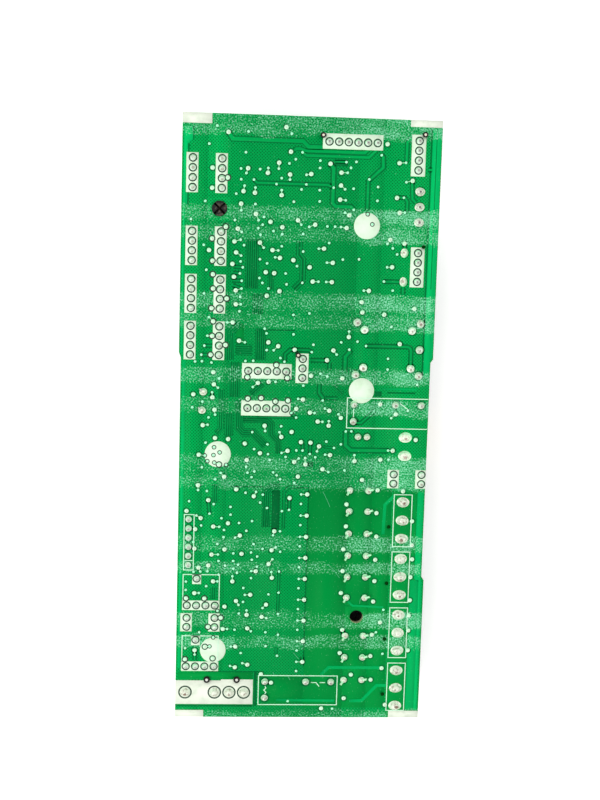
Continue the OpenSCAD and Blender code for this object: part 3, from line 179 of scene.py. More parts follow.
def slab(grid: np.ndarray, span: Span, round_trip: bool = False) -> Shell:
    """Flat slab under and over a grid of places.

    Args:
        grid: shape (a, b, 2), wound so that its quads face up.
        span: height of the lower and of the upper face.
        round_trip: whether the last row joins the first.

    Returns:
        Closed shell: the grid at both heights and a wall along each open edge.
    """
    a, b = grid.shape[:2]
    levels = [np.concatenate([grid, np.full((a, b, 1), z)], -1).reshape(-1, 3) for z in span[::-1]]
    top = np.arange(a * b).reshape(a, b)
    edges = [top[:, 0], top[::-1, -1]] + ([] if round_trip else [top[-1, :], top[0, ::-1]])
    walls = [quads(np.stack([line, line + a * b], -1), wrap_a=round_trip)[:, ::-1] for line in edges]
    under = quads(top + a * b, wrap_a=round_trip)[:, ::-1]
    return Shell(np.concatenate(levels), [quads(top, wrap_a=round_trip), under, *walls])


def collar(centre: np.ndarray, outer: float, inner: float, span: Span, segments: int, square: bool = False) -> Shell:
    """Flat ring, or flat square with a round hole.

    A point at angle t lies at (cos t, sin t) times a radius; on a square's edge, times half its side over
    max(|cos t|, |sin t|).

    Args:
        centre: its middle in the plane.
        outer: outer radius, or half the side of the square.
        inner: radius of the hole.
        span: height of the lower and of the upper face.
        segments: points round the hole.
        square: whether the outline is a square.

    Returns:
        Closed shell.
    """
    angle = np.arange(segments) / segments * TURN
    way = np.stack([np.cos(angle), np.sin(angle)], -1)
    rim = outer / np.abs(way).max(1) if square else np.full(segments, outer)
    reach = np.stack([rim, np.full(segments, inner)], -1)
    return slab(centre + way[:, None, :] * reach[:, :, None], span, round_trip=True)


def plate(outline: Path, span: Span) -> Shell:
    """Flat prism on an outline that runs anticlockwise.

    Args:
        outline: corners in the plane.
        span: height of the lower and of the upper face.

    Returns:
        Closed shell.
    """
    flat = np.array(outline, float)
    if np.sum(flat[:, 0] * np.roll(flat[:, 1], -1) - np.roll(flat[:, 0], -1) * flat[:, 1]) < 0:
        flat = flat[::-1]
    n = len(flat)
    points = np.concatenate([np.c_[flat, np.full(n, z)] for z in span])
    ring = np.arange(n)
    walls = np.stack([ring, np.roll(ring, -1), np.roll(ring, -1) + n, ring + n], -1)
    return Shell(points, [ring[None, ::-1], ring[None] + n, walls])


def pierced(outline: tuple[float, float, float, float], centre: np.ndarray, radius: float, span: Span) -> list[Shell]:
    """Flat rectangle with a round hole: a pierced square, and four plain rectangles that fill the rest.

    Args:
        outline: left, lower, right and upper edge.
        centre: middle of the hole.
        radius: its radius.
        span: height of the lower and of the upper face.

    Returns:
        Closed shells, a hair's width apart.
    """
    x0, y0, x1, y1 = outline
    (left, under), (right, over) = centre - PATCH_HALF, centre + PATCH_HALF
    parts = [(x0, y0, left, y1), (right, y0, x1, y1), (left, y0, right, under), (left, over, right, y1)]
    hair = np.array([SEAM, SEAM, -SEAM, -SEAM])
    shells = [plate(rectangle(*(part + hair)), span) for part in parts
              if part[2] - part[0] > 4 * SEAM and part[3] - part[1] > 4 * SEAM]
    return shells + [collar(centre, PATCH_HALF, radius, span, 64, square=True)]


def mitres(path: Path, closed: bool = False) -> tuple[np.ndarray, np.ndarray]:
    """Points of a path and its mitred normal at each: (n1 + n2) / (1 + n1.n2) of the two lines that meet there."""
    line = np.array(path, float)
    step = np.diff(np.concatenate([line, line[:1]]) if closed else line, axis=0)
    step /= np.linalg.norm(step, axis=1, keepdims=True)
    normal = np.stack([-step[:, 1], step[:, 0]], -1)
    before = np.roll(normal, 1, 0) if closed else np.concatenate([normal[:1], normal])
    after = normal if closed else np.concatenate([normal, normal[-1:]])
    return line, (before + after) / (1 + np.sum(before * after, 1, keepdims=True))


def ribbon(path: Path, width: float, span: Span, closed: bool = False, shoulder: float = 0.04) -> Shell:
    """Low strip along a path: a trapezium carried along it, mitred at its corners so that it keeps its width.

    Args:
        path: points in the plane.
        width: width at the foot.
        span: height of the foot and of the top.
        closed: whether the path returns to its start.
        shoulder: how far the top's edges are drawn in.

    Returns:
        Closed shell.
    """
    line, mitre = mitres(path, closed)
    offsets = np.array([-width / 2, width / 2, width / 2 - shoulder, -width / 2 + shoulder])
    flat = line[:, None, :] + mitre[:, None, :] * offsets[None, :, None]
    heights = np.broadcast_to(np.repeat(span, 2)[None, :, None], (*flat.shape[:2], 1))
    points = np.concatenate([flat, heights], -1)
    index = np.arange(len(line) * 4).reshape(-1, 4)
    walls = quads(index, wrap_a=closed, wrap_b=True)[:, ::-1]
    caps = [] if closed else [index[:1], index[-1:, ::-1]]
    return Shell(points.reshape(-1, 3), [walls, *caps])


def rectangle(x0: float, y0: float, x1: float, y1: float) -> Path:
    """Corners of a rectangle, anticlockwise from its lower left."""
    return [(x0, y0), (x1, y0), (x1, y1), (x0, y1)]


def corner(centre: Sequence[float], radius: float, start: float, end: float, steps: int = 6) -> Path:
    """Points of an arc from one angle to another, in degrees."""
    angle = np.radians(np.linspace(start, end, steps + 1))
    return list(zip(centre[0] + radius * np.cos(angle), centre[1] + radius * np.sin(angle)))


def disc(centre: Sequence[float], radius: float, span: Span, segments: int) -> Shell:
    """Flat disc."""
    return plate(corner(centre, radius, 0, 360, segments)[:-1], span)


def shifted(points: Path) -> Path:
    """Moves artwork coordinates to the model's frame."""
    return [(x + ARTWORK_X, y) for x, y in points]


def pairs(row: Sequence[float]) -> Path:
    """Points from a row of coordinates, x and y in turn."""
    return list(zip(row[::2], row[1::2]))


def points_of(node: str) -> np.ndarray:
    """Points of a CAD node, in millimetres."""
    mesh = frame["nodes"][node].data
    points = np.empty(len(mesh.vertices) * 3)
    mesh.vertices.foreach_get("co", points)
    return points.reshape(-1, 3) / MM


def islands(node: str) -> tuple[np.ndarray, np.ndarray]:
    """Lowest and highest corners, in millimetres, of each separate solid of a CAD node.

    Triangles that share a corner get the lowest of their labels, again and again, until nothing changes.

    Args:
        node: name of the CAD node.

    Returns:
        Two arrays of shape (n, 3).
    """
    mesh = frame["nodes"][node].data
    mesh.calc_loop_triangles()
    corners = np.empty(len(mesh.loop_triangles) * 3, np.int64)
    mesh.loop_triangles.foreach_get("vertices", corners)
    merged, same = np.unique(np.round(points_of(node), 3), axis=0, return_inverse=True)
    triangles = same.reshape(-1)[corners].reshape(-1, 3)
    label, least = np.arange(len(merged)), None
    while least is None or not np.array_equal(least, label):
        label = label if least is None else least
        least = label.copy()
        np.minimum.at(least, triangles.ravel(), np.repeat(label[triangles].min(1), 3))
        least = least[least]
    group = np.unique(label, return_inverse=True)[1].reshape(-1)
    low = np.full((group.max() + 1, 3), np.inf)
    high = -low
    np.minimum.at(low, group, merged)
    np.maximum.at(high, group, merged)
    return low, high


# ---------------------------------------------------------------- materials


def linear(code: str) -> tuple[float, float, float, float]:
    """Linear colour from an sRGB hex code."""
    parts = np.array([int(code[i:i + 2], 16) for i in (0, 2, 4)]) / 255
    values = np.where(parts <= 0.04045, parts / 12.92, ((parts + 0.055) / 1.055) ** 2.4)
    return (*(float(v) for v in values), 1.0)


def add(tree: bpy.types.NodeTree, kind: str, inputs: dict[Any, Any] | None = None, out: int | str | None = 0,
        **settings: Any) -> Any:
    """Adds a node with its settings and links.

    Args:
        tree: the material's tree.
        kind: node type, without its ShaderNode prefix.
        inputs: a value, an sRGB hex code or a socket for each of the node's inputs, by name or number.
        out: the output that is wanted.
        settings: properties of the node.

    Returns:
        That output, or the node itself where none is wanted.
    """
    node = tree.nodes.new("ShaderNode" + kind)
    for name, value in settings.items():
        setattr(node, name, value)
    for key, value in (inputs or {}).items():
        if isinstance(value, bpy.types.NodeSocket):
            tree.links.new(value, node.inputs[key])
        else:
            node.inputs[key].default_value = linear(value) if isinstance(value, str) else value
    return node if out is None else node.outputs[out]


# Settings that many nodes share: a range with soft ends, and a blend of two colours
SOFT = {"interpolation_type": "SMOOTHSTEP"}
COLOURS = {"out": 2, "data_type": "RGBA"}


def per_metre(size_mm: float) -> float:
    """Scale that gives a noise or a cell pattern features of this size."""
    return 1 / (size_mm * MM)


def waves_per_metre(size_mm: float) -> float:
    """Scale that gives a wave pattern this length; it repeats every TURN / 20 units."""
    return TURN / 20 / (size_mm * MM)


class Painter:
    """Material with a Principled shader, and the place on the object that its patterns read."""

    def __init__(self, name: str, roughness: float, metallic: float = 0.0) -> None:
        """Starts the material.

        Args:
            name: what the real material is.
            roughness: roughness of its surface.
            metallic: how far it is a metal.
        """
        self.material = bpy.data.materials.new(name)
        self.material.use_nodes = True
        self.tree = self.material.node_tree
        self.tree.nodes.clear()
        self.shader = add(self.tree, "BsdfPrincipled", {"Roughness": roughness, "Metallic": metallic}, None)
        add(self.tree, "OutputMaterial", {"Surface": self.shader.outputs[0]}, None)
        self.place = add(self.tree, "TexCoord", out="Object")

    def dress(self, **sockets: Any) -> None:
        """Sets or links inputs of the shader.

        Args:
            sockets: a value or socket for each input; an underscore in a name stands for a space.
        """
        for name, value in sockets.items():
            target = self.shader.inputs[name.replace("_", " ")]
            if isinstance(value, bpy.types.NodeSocket):
                self.tree.links.new(value, target)
            else:
                target.default_value = value


def hatch(painter: Painter, low: float, high: float) -> bpy.types.NodeSocket:
    """Openings of hatched copper: the product of two waves at 45 degrees, which is high in squares on their corners.

    Args:
        painter: the material.
        low: product at which the copper ends.
        high: product from which all is opening.

    Returns:
        Socket that holds the share of opening.
    """
    slanted = add(painter.tree, "Mapping", {0: painter.place, "Rotation": (0.0, 0.0, np.radians(45))})
    waves = [add(painter.tree, "TexWave", {0: slanted, "Scale": waves_per_metre(HATCH_MM)}, 1, bands_direction=axis)
             for axis in "XY"]
    product = add(painter.tree, "Math", dict(enumerate(waves)), operation="MULTIPLY")
    return add(painter.tree, "MapRange", {"Value": product, 1: low, 2: high}, **SOFT)


# Where no-clean flux dried in bands across the board: (from, to, share at the left, in the middle, at the right)
FLUX_BANDS = [
    (75.2, 81.0, 0.50, 0.48, 0.95), (53.8, 57.2, 0.46, 0.50, 0.92), (52.0, 53.8, 0.12, 0.10, 0.45),
    (48.4, 52.0, 0.38, 0.34, 0.82), (31.0, 35.0, 0.50, 0.42, 0.80), (29.4, 31.0, 0.14, 0.12, 0.34),
    (25.6, 29.4, 0.42, 0.34, 0.72), (11.2, 15.0, 0.45, 0.46, 0.76), (3.0, 7.2, 0.34, 0.34, 0.80),
    (-12.2, -8.2, 0.48, 0.42, 0.76), (-14.2, -12.2, 0.20, 0.14, 0.60), (-17.0, -14.2, 0.48, 0.36, 0.76),
    (-34.0, -29.8, 0.44, 0.35, 0.80), (-40.0, -37.0, 0.56, 0.38, 0.78), (-55.2, -50.8, 0.46, 0.30, 0.84),
    (-61.0, -57.4, 0.64, 0.45, 0.68), (-81.0, -78.4, 0.50, 0.36, 0.70)]
FLUX = "8fe2b8"
# How far the edges of the bands wander, in millimetres
FLUX_RAGGED = 2.8
# Painted light: how much lighter the mask is made across the board, where the lamps fall strongest: (place, share);
# and along it
PAINTED_LIGHT_ACROSS = [(-33.5, 0.6), (-22.0, 0.42), (-16.0, 0.0), (-2.0, 0.02), (10.0, 0.2), (20.0, 0.34), (33.5, 0.66)]
PAINTED_LIGHT_ALONG = [(-81.0, 0.25), (-60.0, 0.1), (-25.0, 0.0), (22.0, 0.0), (46.0, 0.06), (60.0, 0.34), (81.0, 0.56)]


def curve(painter: Painter, place_m: Any, reach: float, points: Path) -> bpy.types.NodeSocket:
    """Value read off straight lines through points.

    Args:
        painter: the material.
        place_m: socket that holds a place, in metres.
        reach: the lines run from minus this place to plus this place, in millimetres.
        points: pairs of a place in millimetres and a value from 0 to 1, in order.

    Returns:
        Socket that holds the value.
    """
    share = add(painter.tree, "Math", {0: place_m, 1: 1 / (2 * reach * MM), 2: 0.5}, operation="MULTIPLY_ADD")
    node = add(painter.tree, "FloatCurve", {"Value": share}, None)
    line = node.mapping.curves[0]
    first, *others, last = [((place + reach) / (2 * reach), value) for place, value in points]
    line.points[0].location, line.points[1].location = first, last
    for other in others:
        line.points.new(*other)
    for point in line.points:
        point.handle_type = "VECTOR"
    node.mapping.update()
    return node.outputs[0]


def band_points(column: int, edge: float = 0.4) -> Path:
    """Points of the flux curve along the board, through the edges of the bands.

    Args:
        column: 0 for the left, 1 for the middle, 2 for the right.
        edge: half the length over which a band fades.

    Returns:
        Pairs of a place in millimetres and the share of flux there.
    """
    points = {-REACH[1]: 0.0, REACH[1]: 0.0}
    for low, high, *share in sorted(FLUX_BANDS):
        points.setdefault(low - edge, 0.0)
        points.update({low + edge: share[column], high - edge: share[column], high + edge: 0.0})
    return sorted((y, height) for y, height in points.items() if abs(y) <= REACH[1])


def flux_share(painter: Painter) -> bpy.types.NodeSocket:
    """Cover of dried flux: foam-like specks under 1 mm across, inside bands with ragged edges.

    Args:
        painter: the material.

    Returns:
        Socket that holds the share of flux.
    """
    tree, place = painter.tree, painter.place
    split = add(tree, "SeparateXYZ", {0: place}, None).outputs
    wander = add(tree, "TexNoise", {"Vector": place, "Scale": per_metre(9.0), "Detail": 3.0})
    ragged = add(tree, "Math", {0: wander, 1: FLUX_RAGGED * MM, 2: split[1]}, operation="MULTIPLY_ADD")
    ragged = add(tree, "Math", {0: ragged, 1: -FLUX_RAGGED / 2 * MM}, operation="ADD")
    share, middle, right = (curve(painter, ragged, REACH[1], band_points(column)) for column in range(3))
    for other, start, end in ((middle, -20, -13), (right, 5, 24)):
        side = add(tree, "MapRange", {"Value": split[0], 1: start * MM, 2: end * MM}, **SOFT)
        share = add(tree, "Mix", {"Factor": side, 2: share, 3: other}, data_type="FLOAT")
    patches = add(tree, "TexNoise", {"Vector": place, "Scale": per_metre(5.0), "Detail": 2.0})
    patches = add(tree, "MapRange", {"Value": patches, 1: 0.3, 2: 0.6, 3: 0.5, 4: 1.1}, **SOFT)
    share = add(tree, "Math", {0: share, 1: patches}, operation="MULTIPLY")
    cells = {"Vector": place, "Scale": per_metre(0.5), "Randomness": 1.0}
    lace = add(tree, "MapRange", {"Value": add(tree, "TexVoronoi", cells, feature="DISTANCE_TO_EDGE"),
                                  1: 0.22, 2: 0.02}, **SOFT)
    lace = add(tree, "Math", {0: lace, 1: 0.6, 2: 0.4}, operation="MULTIPLY_ADD")
    lift = add(tree, "Math", {0: share, 1: 0.55}, operation="POWER")
    lift = add(tree, "Math", {0: lift, 1: 0.31}, operation="MULTIPLY")
    specks = add(tree, "TexNoise", {"Vector": place, "Scale": per_metre(0.42), "Detail": 2.0})
    specks = add(tree, "Math", {0: specks, 1: lift}, operation="ADD")
    specks = add(tree, "MapRange", {"Value": specks, 1: 0.64, 2: 0.9}, **SOFT)
    return add(tree, "Math", {0: lace, 1: specks}, operation="MULTIPLY")


@dataclass(frozen=True)
class SolderMask:
    """Green epoxy solder mask, screen coated: satin, a little deeper in tone where no copper lies under it."""

    name: str
    copper: str
    # Tone in the openings of hatched copper; the copper is solid where this is empty
    opening: str = ""
    roughness: float = 0.38
    sheen: float = 0.025

    def make(self) -> bpy.types.Material:
        """Builds the material: hatched or solid copper tone, made lighter towards the long edges and the ends by
        painted light, under dried flux.

        Returns:
            The material.
        """
        paint = Painter(self.name, self.roughness)
        tree, place = paint.tree, paint.place
        split = add(tree, "SeparateXYZ", {0: place}, None).outputs
        # Painted light: the share of the lighter tone comes from a curve across the board and one along it, with faint
        # random clouds
        across, along = (curve(paint, split[axis], REACH[axis], (PAINTED_LIGHT_ACROSS, PAINTED_LIGHT_ALONG)[axis]) for axis in (0, 1))
        clouds = add(tree, "TexNoise", {"Vector": place, "Scale": per_metre(14.0), "Detail": 3.0})
        clouds = add(tree, "MapRange", {"Value": clouds, 1: 0.3, 2: 0.7, 3: -0.06, 4: 0.06}, **SOFT)
        thin = add(tree, "Math", {0: across, 1: along}, operation="ADD")
        thin = add(tree, "Math", {0: thin, 1: clouds}, operation="ADD")
        # Painted light: the copper tone half as bright again, for where the lamps fall strongest
        lit = (*(min(1.0, 1.5 * c) for c in linear(self.copper)[:3]), 1.0)
        tone = add(tree, "Mix", {"Factor": thin, 6: self.copper, 7: lit}, **COLOURS)
        if self.opening:
            tone = add(tree, "Mix", {"Factor": hatch(paint, 0.15, 0.7), 6: tone, 7: self.opening}, **COLOURS)
        flux = flux_share(paint)
        tone = add(tree, "Mix", {"Factor": flux, 6: tone, 7: FLUX}, **COLOURS)
        rough = add(tree, "Math", {0: flux, 1: 0.35, 2: self.roughness}, operation="MULTIPLY_ADD")
        normal = add(tree, "Bump", {"Height": flux, "Distance": 0.03 * MM, "Strength": 0.4})
        paint.dress(Base_Color=tone, Roughness=rough, Specular_IOR_Level=self.sheen, Normal=normal)
        return paint.material


@dataclass(frozen=True)
class Ink:
    """Legend ink, screen printed epoxy: near white, matt, thin at its edges and a little stained by flux."""

    name: str
    colour: str = "e8f0dd"
    stain: str = "d6e0cc"

    def make(self) -> bpy.types.Material:
        """Builds the material: stains 2 mm across, and the grain of a screen print.

        Returns:
            The material.
        """
        paint = Painter(self.name, 0.6)
        tree, place = paint.tree, paint.place
        stains = add(tree, "TexNoise", {"Vector": place, "Scale": per_metre(2.2), "Detail": 3.0})
        stains = add(tree, "MapRange", {"Value": stains, 1: 0.45, 2: 0.75}, **SOFT)
        tone = add(tree, "Mix", {"Factor": stains, 6: self.colour, 7: self.stain}, **COLOURS)
        grain = add(tree, "TexNoise", {"Vector": place, "Scale": per_metre(0.3), "Detail": 2.0})
        normal = add(tree, "Bump", {"Height": grain, "Distance": 0.01 * MM, "Strength": 0.4})
        paint.dress(Base_Color=tone, Normal=normal)
        return paint.material


# Haze of flux on solder, and the pits that it leaves
HAZE = "e3dccf"
PITS = "8f7668"


@dataclass(frozen=True)
class Solder:
    """Tin-lead solder, wave soldered: bright metal under a thin haze of flux, dull and pitted at the pin's end."""

    name: str
    bright: str = "f4f2e4"
    dull: str = "8d7b78"
    roughness: float = 0.34
    metallic: float = 0.25
    # Shares of the way from the rim to the lead between which the metal turns dull
    dull_from: float = 0.52
    dull_to: float = 0.72
    # Painted reflection: green of the mask mirrored in the solder where the joint slopes down to the face
    rim: str = "a8ecb8"
    # How dark the specks and pits are
    pits: float = 0.0

    def make(self) -> bpy.types.Material:
        """Builds the material: the tone follows the way to the lead's cut end, broken up by small pits.

        Returns:
            The material.
        """
        paint = Painter(self.name, self.roughness, self.metallic)
        tree, place = paint.tree, paint.place
        tip = add(tree, "Attribute", out="Fac", attribute_name="tip")
        ragged = add(tree, "TexNoise", {"Vector": place, "Scale": per_metre(0.5), "Detail": 3.0})
        back = add(tree, "Math", {0: tip, 1: -0.25}, operation="ADD")
        ragged = add(tree, "Math", {0: ragged, 1: 0.5, 2: back}, operation="MULTIPLY_ADD")
        share = add(tree, "MapRange", {"Value": ragged, 1: self.dull_from, 2: self.dull_to}, **SOFT)
        tone = add(tree, "Mix", {"Factor": share, 6: self.bright, 7: self.dull}, **COLOURS)
        # Painted reflection of the green mask along the joint's foot
        edge = add(tree, "MapRange", {"Value": tip, 1: 0.22, 2: 0.02}, **SOFT)
        tone = add(tree, "Mix", {"Factor": edge, 6: tone, 7: self.rim}, **COLOURS)
        haze = add(tree, "TexNoise", {"Vector": place, "Scale": per_metre(1.1), "Detail": 2.0})
        haze = add(tree, "MapRange", {"Value": haze, 1: 0.5, 2: 0.7}, **SOFT)
        haze = add(tree, "Math", {0: haze, 1: 0.25}, operation="MULTIPLY")
        tone = add(tree, "Mix", {"Factor": haze, 6: tone, 7: HAZE}, **COLOURS)
        if self.pits:
            specks = add(tree, "TexNoise", {"Vector": place, "Scale": per_metre(0.62), "Detail": 2.0})
            specks = add(tree, "MapRange", {"Value": specks, 1: 0.51, 2: 0.65, 4: self.pits}, **SOFT)
            tone = add(tree, "Mix", {"Factor": specks, 6: tone, 7: PITS}, **COLOURS)
        grain = add(tree, "TexNoise", {"Vector": place, "Scale": per_metre(0.35), "Detail": 3.0})
        normal = add(tree, "Bump", {"Height": grain, "Distance": 0.04 * MM, "Strength": 0.35})
        paint.dress(Base_Color=tone, Normal=normal)
        return paint.material


@dataclass(frozen=True)
class Moulded:
    """Moulded plastic, rubber or resin: even colour with faint flow marks and the fine grain of the tool."""

    name: str
    colour: str
    second: str
    roughness: float
    grain_mm: float = 0.25
    grain_depth: float = 0.012
    flow_mm: float = 5.0
    coat: float = 0.0
    # Part of the flow pattern over which the tone changes; a short part gives patches
    spread: tuple[float, float] = (0.3, 0.7)
    shine: float = 0.5

    def make(self) -> bpy.types.Material:
        """Builds the material: flow marks in tone and gloss, and the grain of the tool.

        Returns:
            The material.
        """
        paint = Painter(self.name, self.roughness)
        tree, place = paint.tree, paint.place
        flow = add(tree, "TexNoise", {"Vector": place, "Scale": per_metre(self.flow_mm), "Detail": 3.0})
        flow = add(tree, "MapRange", {"Value": flow, 1: self.spread[0], 2: self.spread[1]}, **SOFT)
        tone = add(tree, "Mix", {"Factor": flow, 6: self.colour, 7: self.second}, **COLOURS)
        rough = add(tree, "MapRange", {"Value": flow, 3: self.roughness - 0.05, 4: self.roughness + 0.07}, **SOFT)
        grain = add(tree, "TexNoise", {"Vector": place, "Scale": per_metre(self.grain_mm), "Detail": 2.0})
        normal = add(tree, "Bump", {"Height": grain, "Distance": self.grain_depth * MM, "Strength": 0.5})
        paint.dress(Base_Color=tone, Roughness=rough, Coat_Weight=self.coat, Specular_IOR_Level=self.shine,
                    Normal=normal)
        return paint.material


@dataclass(frozen=True)
class Metal:
    """Rolled, drawn or plated metal: fine scratches along one way and a soft change of gloss."""

    name: str
    colour: str
    second: str
    roughness: float
    grain: tuple[float, float, float] = (0.15, 2.0, 0.15)

    def make(self) -> bpy.types.Material:
        """Builds the material: noise drawn out along the axis with the largest grain size.

        Returns:
            The material.
        """
        paint = Painter(self.name, self.roughness, 1.0)
        tree, place = paint.tree, paint.place
        sizes = tuple(per_metre(size) for size in self.grain)
        drawn = add(tree, "Mapping", {0: place, "Scale": sizes})
        lines = add(tree, "TexNoise", {0: drawn, "Scale": 1.0, "Detail": 3.0})
        share = add(tree, "MapRange", {"Value": lines, 1: 0.3, 2: 0.7}, **SOFT)
        tone = add(tree, "Mix", {"Factor": share, 6: self.colour, 7: self.second}, **COLOURS)
        gloss = add(tree, "TexNoise", {"Vector": place, "Scale": per_metre(3.0), "Detail": 2.0})
        rough = add(tree, "MapRange", {"Value": gloss, 1: 0.3, 2: 0.7, 3: self.roughness - 0.06,
                                       4: self.roughness + 0.1}, **SOFT)
        normal = add(tree, "Bump", {"Height": lines, "Distance": 0.01 * MM, "Strength": 0.35})
        paint.dress(Base_Color=tone, Roughness=rough, Normal=normal)
        return paint.material


@dataclass(frozen=True)
class Laminate:
    """Glass-filled epoxy board: masked green on both faces, and layers of pale fibre on its routed edges."""

    name: str
    copper: str
    opening: str
    fibre: str
    resin: str

    def make(self) -> bpy.types.Material:
        """Builds the material: the share of edge comes from how far the surface leans from level.

        Returns:
            The material.
        """
        paint = Painter(self.name, 0.42)
        tree, place = paint.tree, paint.place
        face = add(tree, "Mix", {"Factor": hatch(paint, 0.2, 0.75), 6: self.copper, 7: self.opening}, **COLOURS)
        layers = add(tree, "TexWave", {0: place, "Scale": waves_per_metre(0.2), "Distortion": 1.5,
                                       "Detail Scale": 400.0}, 1, bands_direction="Z")
        edge = add(tree, "Mix", {"Factor": layers, 6: self.fibre, 7: self.resin}, **COLOURS)
        level = add(tree, "SeparateXYZ", {0: add(tree, "NewGeometry", out="Normal")}, 2)
        level = add(tree, "Math", {0: level}, operation="ABSOLUTE")
        steep = add(tree, "MapRange", {"Value": level, 1: 0.6, 2: 0.4}, **SOFT)
        tone = add(tree, "Mix", {"Factor": steep, 6: face, 7: edge}, **COLOURS)
        normal = add(tree, "Bump", {"Height": layers, "Distance": 0.02 * MM, "Strength": 0.3})
        paint.dress(Base_Color=tone, Normal=normal)
        return paint.material


@dataclass(frozen=True)
class Wound:
    """Polyester tape wound round a coil: glossy film with a faint edge at each turn."""

    name: str
    colour: str
    shade: str
    turn_mm: float

    def make(self) -> bpy.types.Material:
        """Builds the material: a saw wave whose end is the edge of a turn.

        Returns:
            The material.
        """
        paint = Painter(self.name, 0.28)
        tree = paint.tree
        laps = add(tree, "TexWave", {0: paint.place, "Scale": waves_per_metre(self.turn_mm), "Distortion": 0.6,
                                     "Detail Scale": 200.0}, 1, bands_direction="X", wave_profile="SAW")
        edge = add(tree, "MapRange", {"Value": laps, 1: 0.8, 2: 1.0}, **SOFT)
        tone = add(tree, "Mix", {"Factor": edge, 6: self.colour, 7: self.shade}, **COLOURS)
        normal = add(tree, "Bump", {"Height": laps, "Distance": 0.03 * MM, "Strength": 0.5})
        paint.dress(Base_Color=tone, Normal=normal)
        return paint.material


# ---------------------------------------------------------------- pieces


def make_piece(name: str, shell: Shell, material: bpy.types.Material,
               nodes: Sequence[str] = ()) -> bpy.types.Object:
    """Makes an object of a shell, links it to the scene and hangs it from the root body; the CAD nodes that it stands
    for are hidden. Turned shells are shaded smooth.

    Args:
        name: the piece's name.
        shell: its surface, in millimetres.
        material: its finish.
        nodes: CAD nodes that the piece stands for.

    Returns:
        The object.
    """
    corners = np.concatenate([f.ravel() for f in shell.faces])
    sizes = np.concatenate([np.full(len(f), f.shape[1]) for f in shell.faces])
    mesh = bpy.data.meshes.new(name)
    mesh.vertices.add(len(shell.points))
    mesh.vertices.foreach_set("co", (shell.points * MM).astype(np.float32).ravel())
    mesh.loops.add(len(corners))
    mesh.loops.foreach_set("vertex_index", corners.astype(np.int32))
    mesh.polygons.add(len(sizes))
    mesh.polygons.foreach_set("loop_start", (np.cumsum(sizes) - sizes).astype(np.int32))
    mesh.update(calc_edges=True)
    mesh.validate()
    if shell.tip is not None:
        mesh.attributes.new("tip", "FLOAT", "POINT").data.foreach_set("value", shell.tip.astype(np.float32))
        mesh.polygons.foreach_set("use_smooth", np.ones(len(mesh.polygons), bool))
        mesh.set_sharp_from_angle(angle=SHARP)
    mesh.materials.append(material)
    piece = bpy.data.objects.new(name, mesh)
    bpy.context.scene.collection.objects.link(piece)
    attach(piece, "root")
    if nodes:
        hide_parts(*nodes)
    LOG.info("%s: %d faces", name, len(mesh.polygons))
    return piece


class Level(Enum):
    """Heights over the laminate's soldered face, in millimetres, of the layers that lie on it."""

    FOOT = 0.002
    FILM = 0.012
    PLANE = 0.016
    STRIP = 0.020
    GAP = 0.024
    TRACK = 0.048
    SCORE = 0.056
    DISC = 0.058
    INK = 0.062
    VIA_RING = 0.064
    PAD_RING = 0.066
    RING = 0.068
    # Dark discs of painted shade in the peg holes
    HOLE = 0.072
    NECK = 0.09


class Board:
    """Laminate: its faces, and the outline that its layers keep inside."""

    def __init__(self) -> None:
        """Reads the laminate's box and edge, the post and the fixing hole from the frame."""
        self.low, self.high = (np.array(corner_m) / MM for corner_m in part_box("board"))
        self.face = float(self.high[2])
        points = np.unique(np.round(points_of("board"), 3), axis=0)
        # Corners of the soldered face within 1 mm of the long edges
        rim = points[np.abs(points[:, 2] - self.face) < 0.01]
        inner = self.high[0] - 1.0
        self.edges = [side[np.argsort(side[:, 1])] for side in (rim[rim[:, 0] < -inner], rim[rim[:, 0] > inner])]
        fixing = frame["record"]["mounts"][0]
        # Centre and radius of the two openings: the post's hole and the fixing hole
        self.post = (np.sum(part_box("support_post"), 0)[:2] / 2 / MM, POST_R)
        self.fixing = (np.array(fixing["pos_m"][:2]) / MM, fixing["dims"]["r_mm"] + FIXING_BACK)

    def layer(self, top: Level) -> Span:
        """Lower and upper height of a layer."""
        return self.face + Level.FOOT.value, self.face + top.value

    def edge_x(self, side: int, y: np.ndarray | float) -> np.ndarray:
        """Place of the left (0) or right (1) edge at heights y along the board."""
        return np.interp(y, self.edges[side][:, 1], self.edges[side][:, 0])

    def film(self) -> Shell:
        """Mask over the whole face, left open at the post's hole and the fixing hole.

        Each column of the board is a ruled surface between two edges, and the holes stand in columns of their own.
        """
        span = self.layer(Level.FILM)
        ys = np.unique(np.concatenate([e[:, 1] for e in self.edges]))
        holes = [(centre[0] - PATCH_HALF, centre[0] + PATCH_HALF, centre, radius)
                 for centre, radius in (self.post, self.fixing)]
        starts = [self.edge_x(0, ys), *(right + SEAM for _, right, _, _ in holes)]
        ends = [*(left - SEAM for left, _, _, _ in holes), self.edge_x(1, ys)]
        shells = []
        for sides in zip(starts, ends):
            xs = np.stack([np.broadcast_to(x, ys.shape) for x in sides])
            shells.append(slab(np.stack([xs, np.broadcast_to(ys, xs.shape)], -1), span))
        for left, right, centre, radius in holes:
            shells += pierced((left, ys[0], right, ys[-1]), centre, radius, span)
        return joined(shells)


@dataclass
class Track:
    """Copper line under the mask: its path in artwork coordinates, its width and the bare gap on both sides."""

    path: Path
    width: float
    gap: float


def bundle(count: int, pitch: float, *path: float) -> list[Track]:
    """Thin lines side by side.

    Args:
        count: how many lines.
        pitch: distance from one to the next.
        path: middle of the bundle, x and y in turn.

    Returns:
        The lines, each on the path moved sideways by its mitred normal.
    """
    line, mitre = mitres(pairs(path))
    offsets = (np.arange(count) - (count - 1) / 2) * pitch
    return [Track([tuple(p) for p in line + mitre * o], pitch * FINE_WIDTH, pitch * FINE_GAP) for o in offsets]


